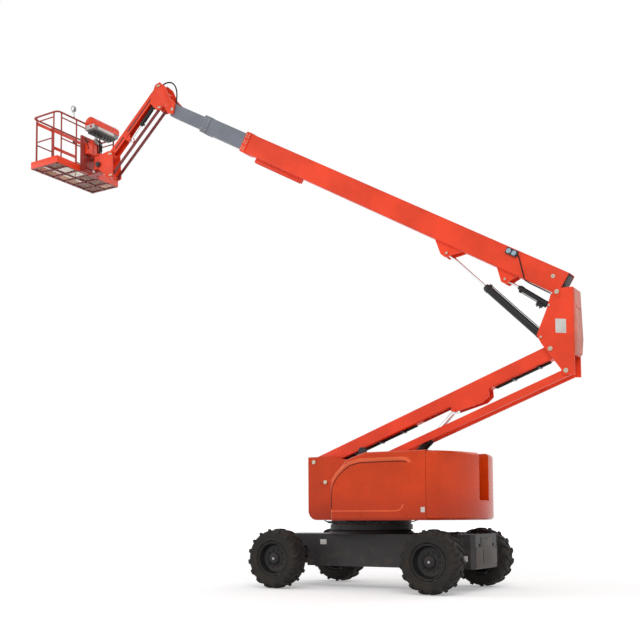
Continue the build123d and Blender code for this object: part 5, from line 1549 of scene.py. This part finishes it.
class LIFT_OT_console(bpy.types.Operator):
    """Builds the control console with its half-round lid, levers and switches"""
    bl_idname = "lift.console"
    bl_label = "Control Console"

    def execute(self, context):
        low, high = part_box("control_console")
        x0, x1, y0, y1 = low.x, high.x, low.y, high.y
        z0, z1 = low.z, low.z + 0.130
        middle = (x0 + x1) / 2
        base = Shape()
        base.prism([(x0 + 0.020, z0 + 0.030), (x0 + 0.050, z0), (x1 - 0.010, z0), (x1, z0 + 0.010), (x1, z1),
                    (x0, z1)], y0 + 0.010, y1 - 0.010, upright_plane(), 0.006)
        base.piece("console_box", "platform", "grey_plastic", ("control_console",))
        self.lid(x0, x1, y0, y1, z1, high.z - z1)
        shelf = Shape()
        shelf.block((x0 + 0.004, y0 + 0.160, z0 + 0.012), (x0 + 0.012, y1 - 0.110, z0 + 0.104), bevel=0.002)
        shelf.block((x0 + 0.012, y1 - 0.011, z0 + 0.014), (x1 - 0.030, y1 - 0.004, z0 + 0.110), bevel=0.002)
        shelf.piece("console_pale_panels", "platform", "pale")
        under = Shape()
        z = z0 - 0.040
        under.block((x0 + 0.060, y0 + 0.060, z), (x1 - 0.010, y1 - 0.080, z0 + 0.001), bevel=0.006)
        for k in range(6):
            spot = (middle, y0 + 0.12 + k * 0.095, z)
            under.turned(stub(0.016, 0.014, 0.012, 0.030), facing(spot, (0, 0, -1)), 20)
        under.piece("console_underside", "platform", "plastic")
        controls = Shape()
        for y in (y0 + 0.120, y0 + 0.300, y0 + 0.600):
            controls.turned(((0.030, 0.0), (0.024, 0.012), (0.010, 0.022), (0.006, 0.060), (0.014, 0.066),
                             (0.016, 0.088), (0.010, 0.100), (0, 0.102)),
                            facing((middle + 0.02, y, z1 - 0.004), (0.15, 0, 1)), 24)
        controls.piece("console_levers", "platform", "plastic")
        stop = Shape()
        stop.turned(((0, 0), (0.014, 0), (0.014, 0.010), (0.024, 0.014), (0.026, 0.022), (0.020, 0.030),
                     (0, 0.032)), flank(middle - 0.04, y1 - 0.012, z0 + 0.060, 1), 32)
        stop.piece("console_stop_button", "platform", "signal_red")
        guard = Shape()
        line = ((0.002, 0.02), (-0.050, 0.03), (-0.060, 0.17), (-0.030, 0.20), (-0.012, 0.05))
        guard.pipe([(middle + 0.02, y0 + y, z1 + z) for y, z in line], 0.006, 10, bend=0.02)
        guard.piece("console_guard", "platform", "steel")
        return {"FINISHED"}

    def lid(self, x0, x1, y0, y1, foot, radius):
        """A half-round cover with two end walls, three ridges and a short skirt."""
        lid = Shape()
        middle, wall, plane = (x0 + x1) / 2, 0.008, upright_plane()
        outer = arch(middle, foot, radius)
        lid.prism(outer + arch(middle, foot, radius - wall)[::-1], y0 + wall, y1 - wall, plane)
        for y in (y0, y1 - wall):
            lid.prism(outer, y, y + wall, plane, 0.0025)
        for y in (y0 + 0.190, y0 + 0.380, y0 + 0.570):
            lid.prism(outer + arch(middle, foot, radius - 0.012)[::-1], y - 0.006, y + 0.006, plane)
        skirt = foot - 0.055
        lid.block((x0 - 0.002, y0 + 0.004, skirt), (x0 + 0.002, y1 - 0.004, foot + 0.004), bevel=0.001)
        for y in (y0 + 0.008, y1 - 0.012):
            lid.block((x0, y, skirt), (x1 - 0.002, y + 0.004, foot), bevel=0.001)
        lid.piece("console_lid", "platform", "boom")


class LIFT_OT_work_lamp(bpy.types.Operator):
    """Builds the round work lamp on the platform's rear rail"""
    bl_idname = "lift.work_lamp"
    bl_label = "Work Lamp"

    def execute(self, context):
        low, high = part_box("work_lamp")
        x, y, z = (low.x + high.x) / 2, (low.y + high.y) / 2, high.z - 0.075
        case = Shape()
        aim = facing((x, y, z), (0, 1, 0))
        case.turned(((0, -0.044), (0.020, -0.044), (0.040, -0.030), (0.052, -0.006), (0.0545, 0.030),
                     (0.0545, 0.042), (0.049, 0.0435), (0.048, 0.038)), aim, 48)
        case.piece("lamp_case", "platform", "grey_plastic", ("work_lamp",))
        glass = Shape()
        glass.turned(((0.048, 0.036), (0.040, 0.0395), (0.020, 0.042), (0, 0.0425)), aim, 48)
        glass.piece("lamp_glass", "platform", "lens")
        stem = Shape()
        stem.pipe(((x, y, low.z), (x, y, z - 0.050)), 0.0115, 16)
        stem.turned(((0.0, 0.0), (0.022, 0.0), (0.022, 0.006), (0.012, 0.010)),
                    Matrix.Translation((x, y, low.z)), 20)
        for x0, x1 in ((x - 0.055, x - 0.051), (x + 0.051, x + 0.055)):
            stem.block((x0, y - 0.012, z - 0.062), (x1, y + 0.012, z + 0.012), bevel=0.001)
        stem.block((x - 0.055, y - 0.012, z - 0.066), (x + 0.055, y + 0.012, z - 0.060), bevel=0.001)
        stem.piece("lamp_stem", "platform", "steel")
        return {"FINISHED"}


# ---------------------------------------------------------------- panel and running
STEPS = (LIFT_OT_stage, LIFT_OT_loop, LIFT_OT_finishes, LIFT_OT_wheels, LIFT_OT_chassis, LIFT_OT_turntable,
         LIFT_OT_riser, LIFT_OT_boom, LIFT_OT_cylinders, LIFT_OT_jib, LIFT_OT_platform, LIFT_OT_console,
         LIFT_OT_work_lamp)


class LIFT_PT_panel(bpy.types.Panel):
    """Lists the lift's settings and the pieces to build"""
    bl_idname = "LIFT_PT_panel"
    bl_label = "Boom Lift"
    bl_space_type = "VIEW_3D"
    bl_region_type = "UI"
    bl_category = "Boom Lift"

    def draw(self, context):
        for holder in (context.scene.lift_colours, context.scene.lift_sizes):
            box = self.layout.box()
            for name in holder.__annotations__:
                box.prop(holder, name)
        for step in STEPS:
            self.layout.operator(step.bl_idname)


CLASSES = (LiftColours, LiftSizes, *STEPS, LIFT_PT_panel)


def register():
    for cls in CLASSES:
        bpy.utils.register_class(cls)
    bpy.types.Scene.lift_colours = bpy.props.PointerProperty(type=LiftColours)
    bpy.types.Scene.lift_sizes = bpy.props.PointerProperty(type=LiftSizes)


def unregister():
    del bpy.types.Scene.lift_sizes
    del bpy.types.Scene.lift_colours
    for cls in reversed(CLASSES):
        bpy.utils.unregister_class(cls)


def main():
    register()
    for step in STEPS:
        group, name = step.bl_idname.split(".")
        getattr(getattr(bpy.ops, group), name)()


if __name__ == "__main__":
    main()
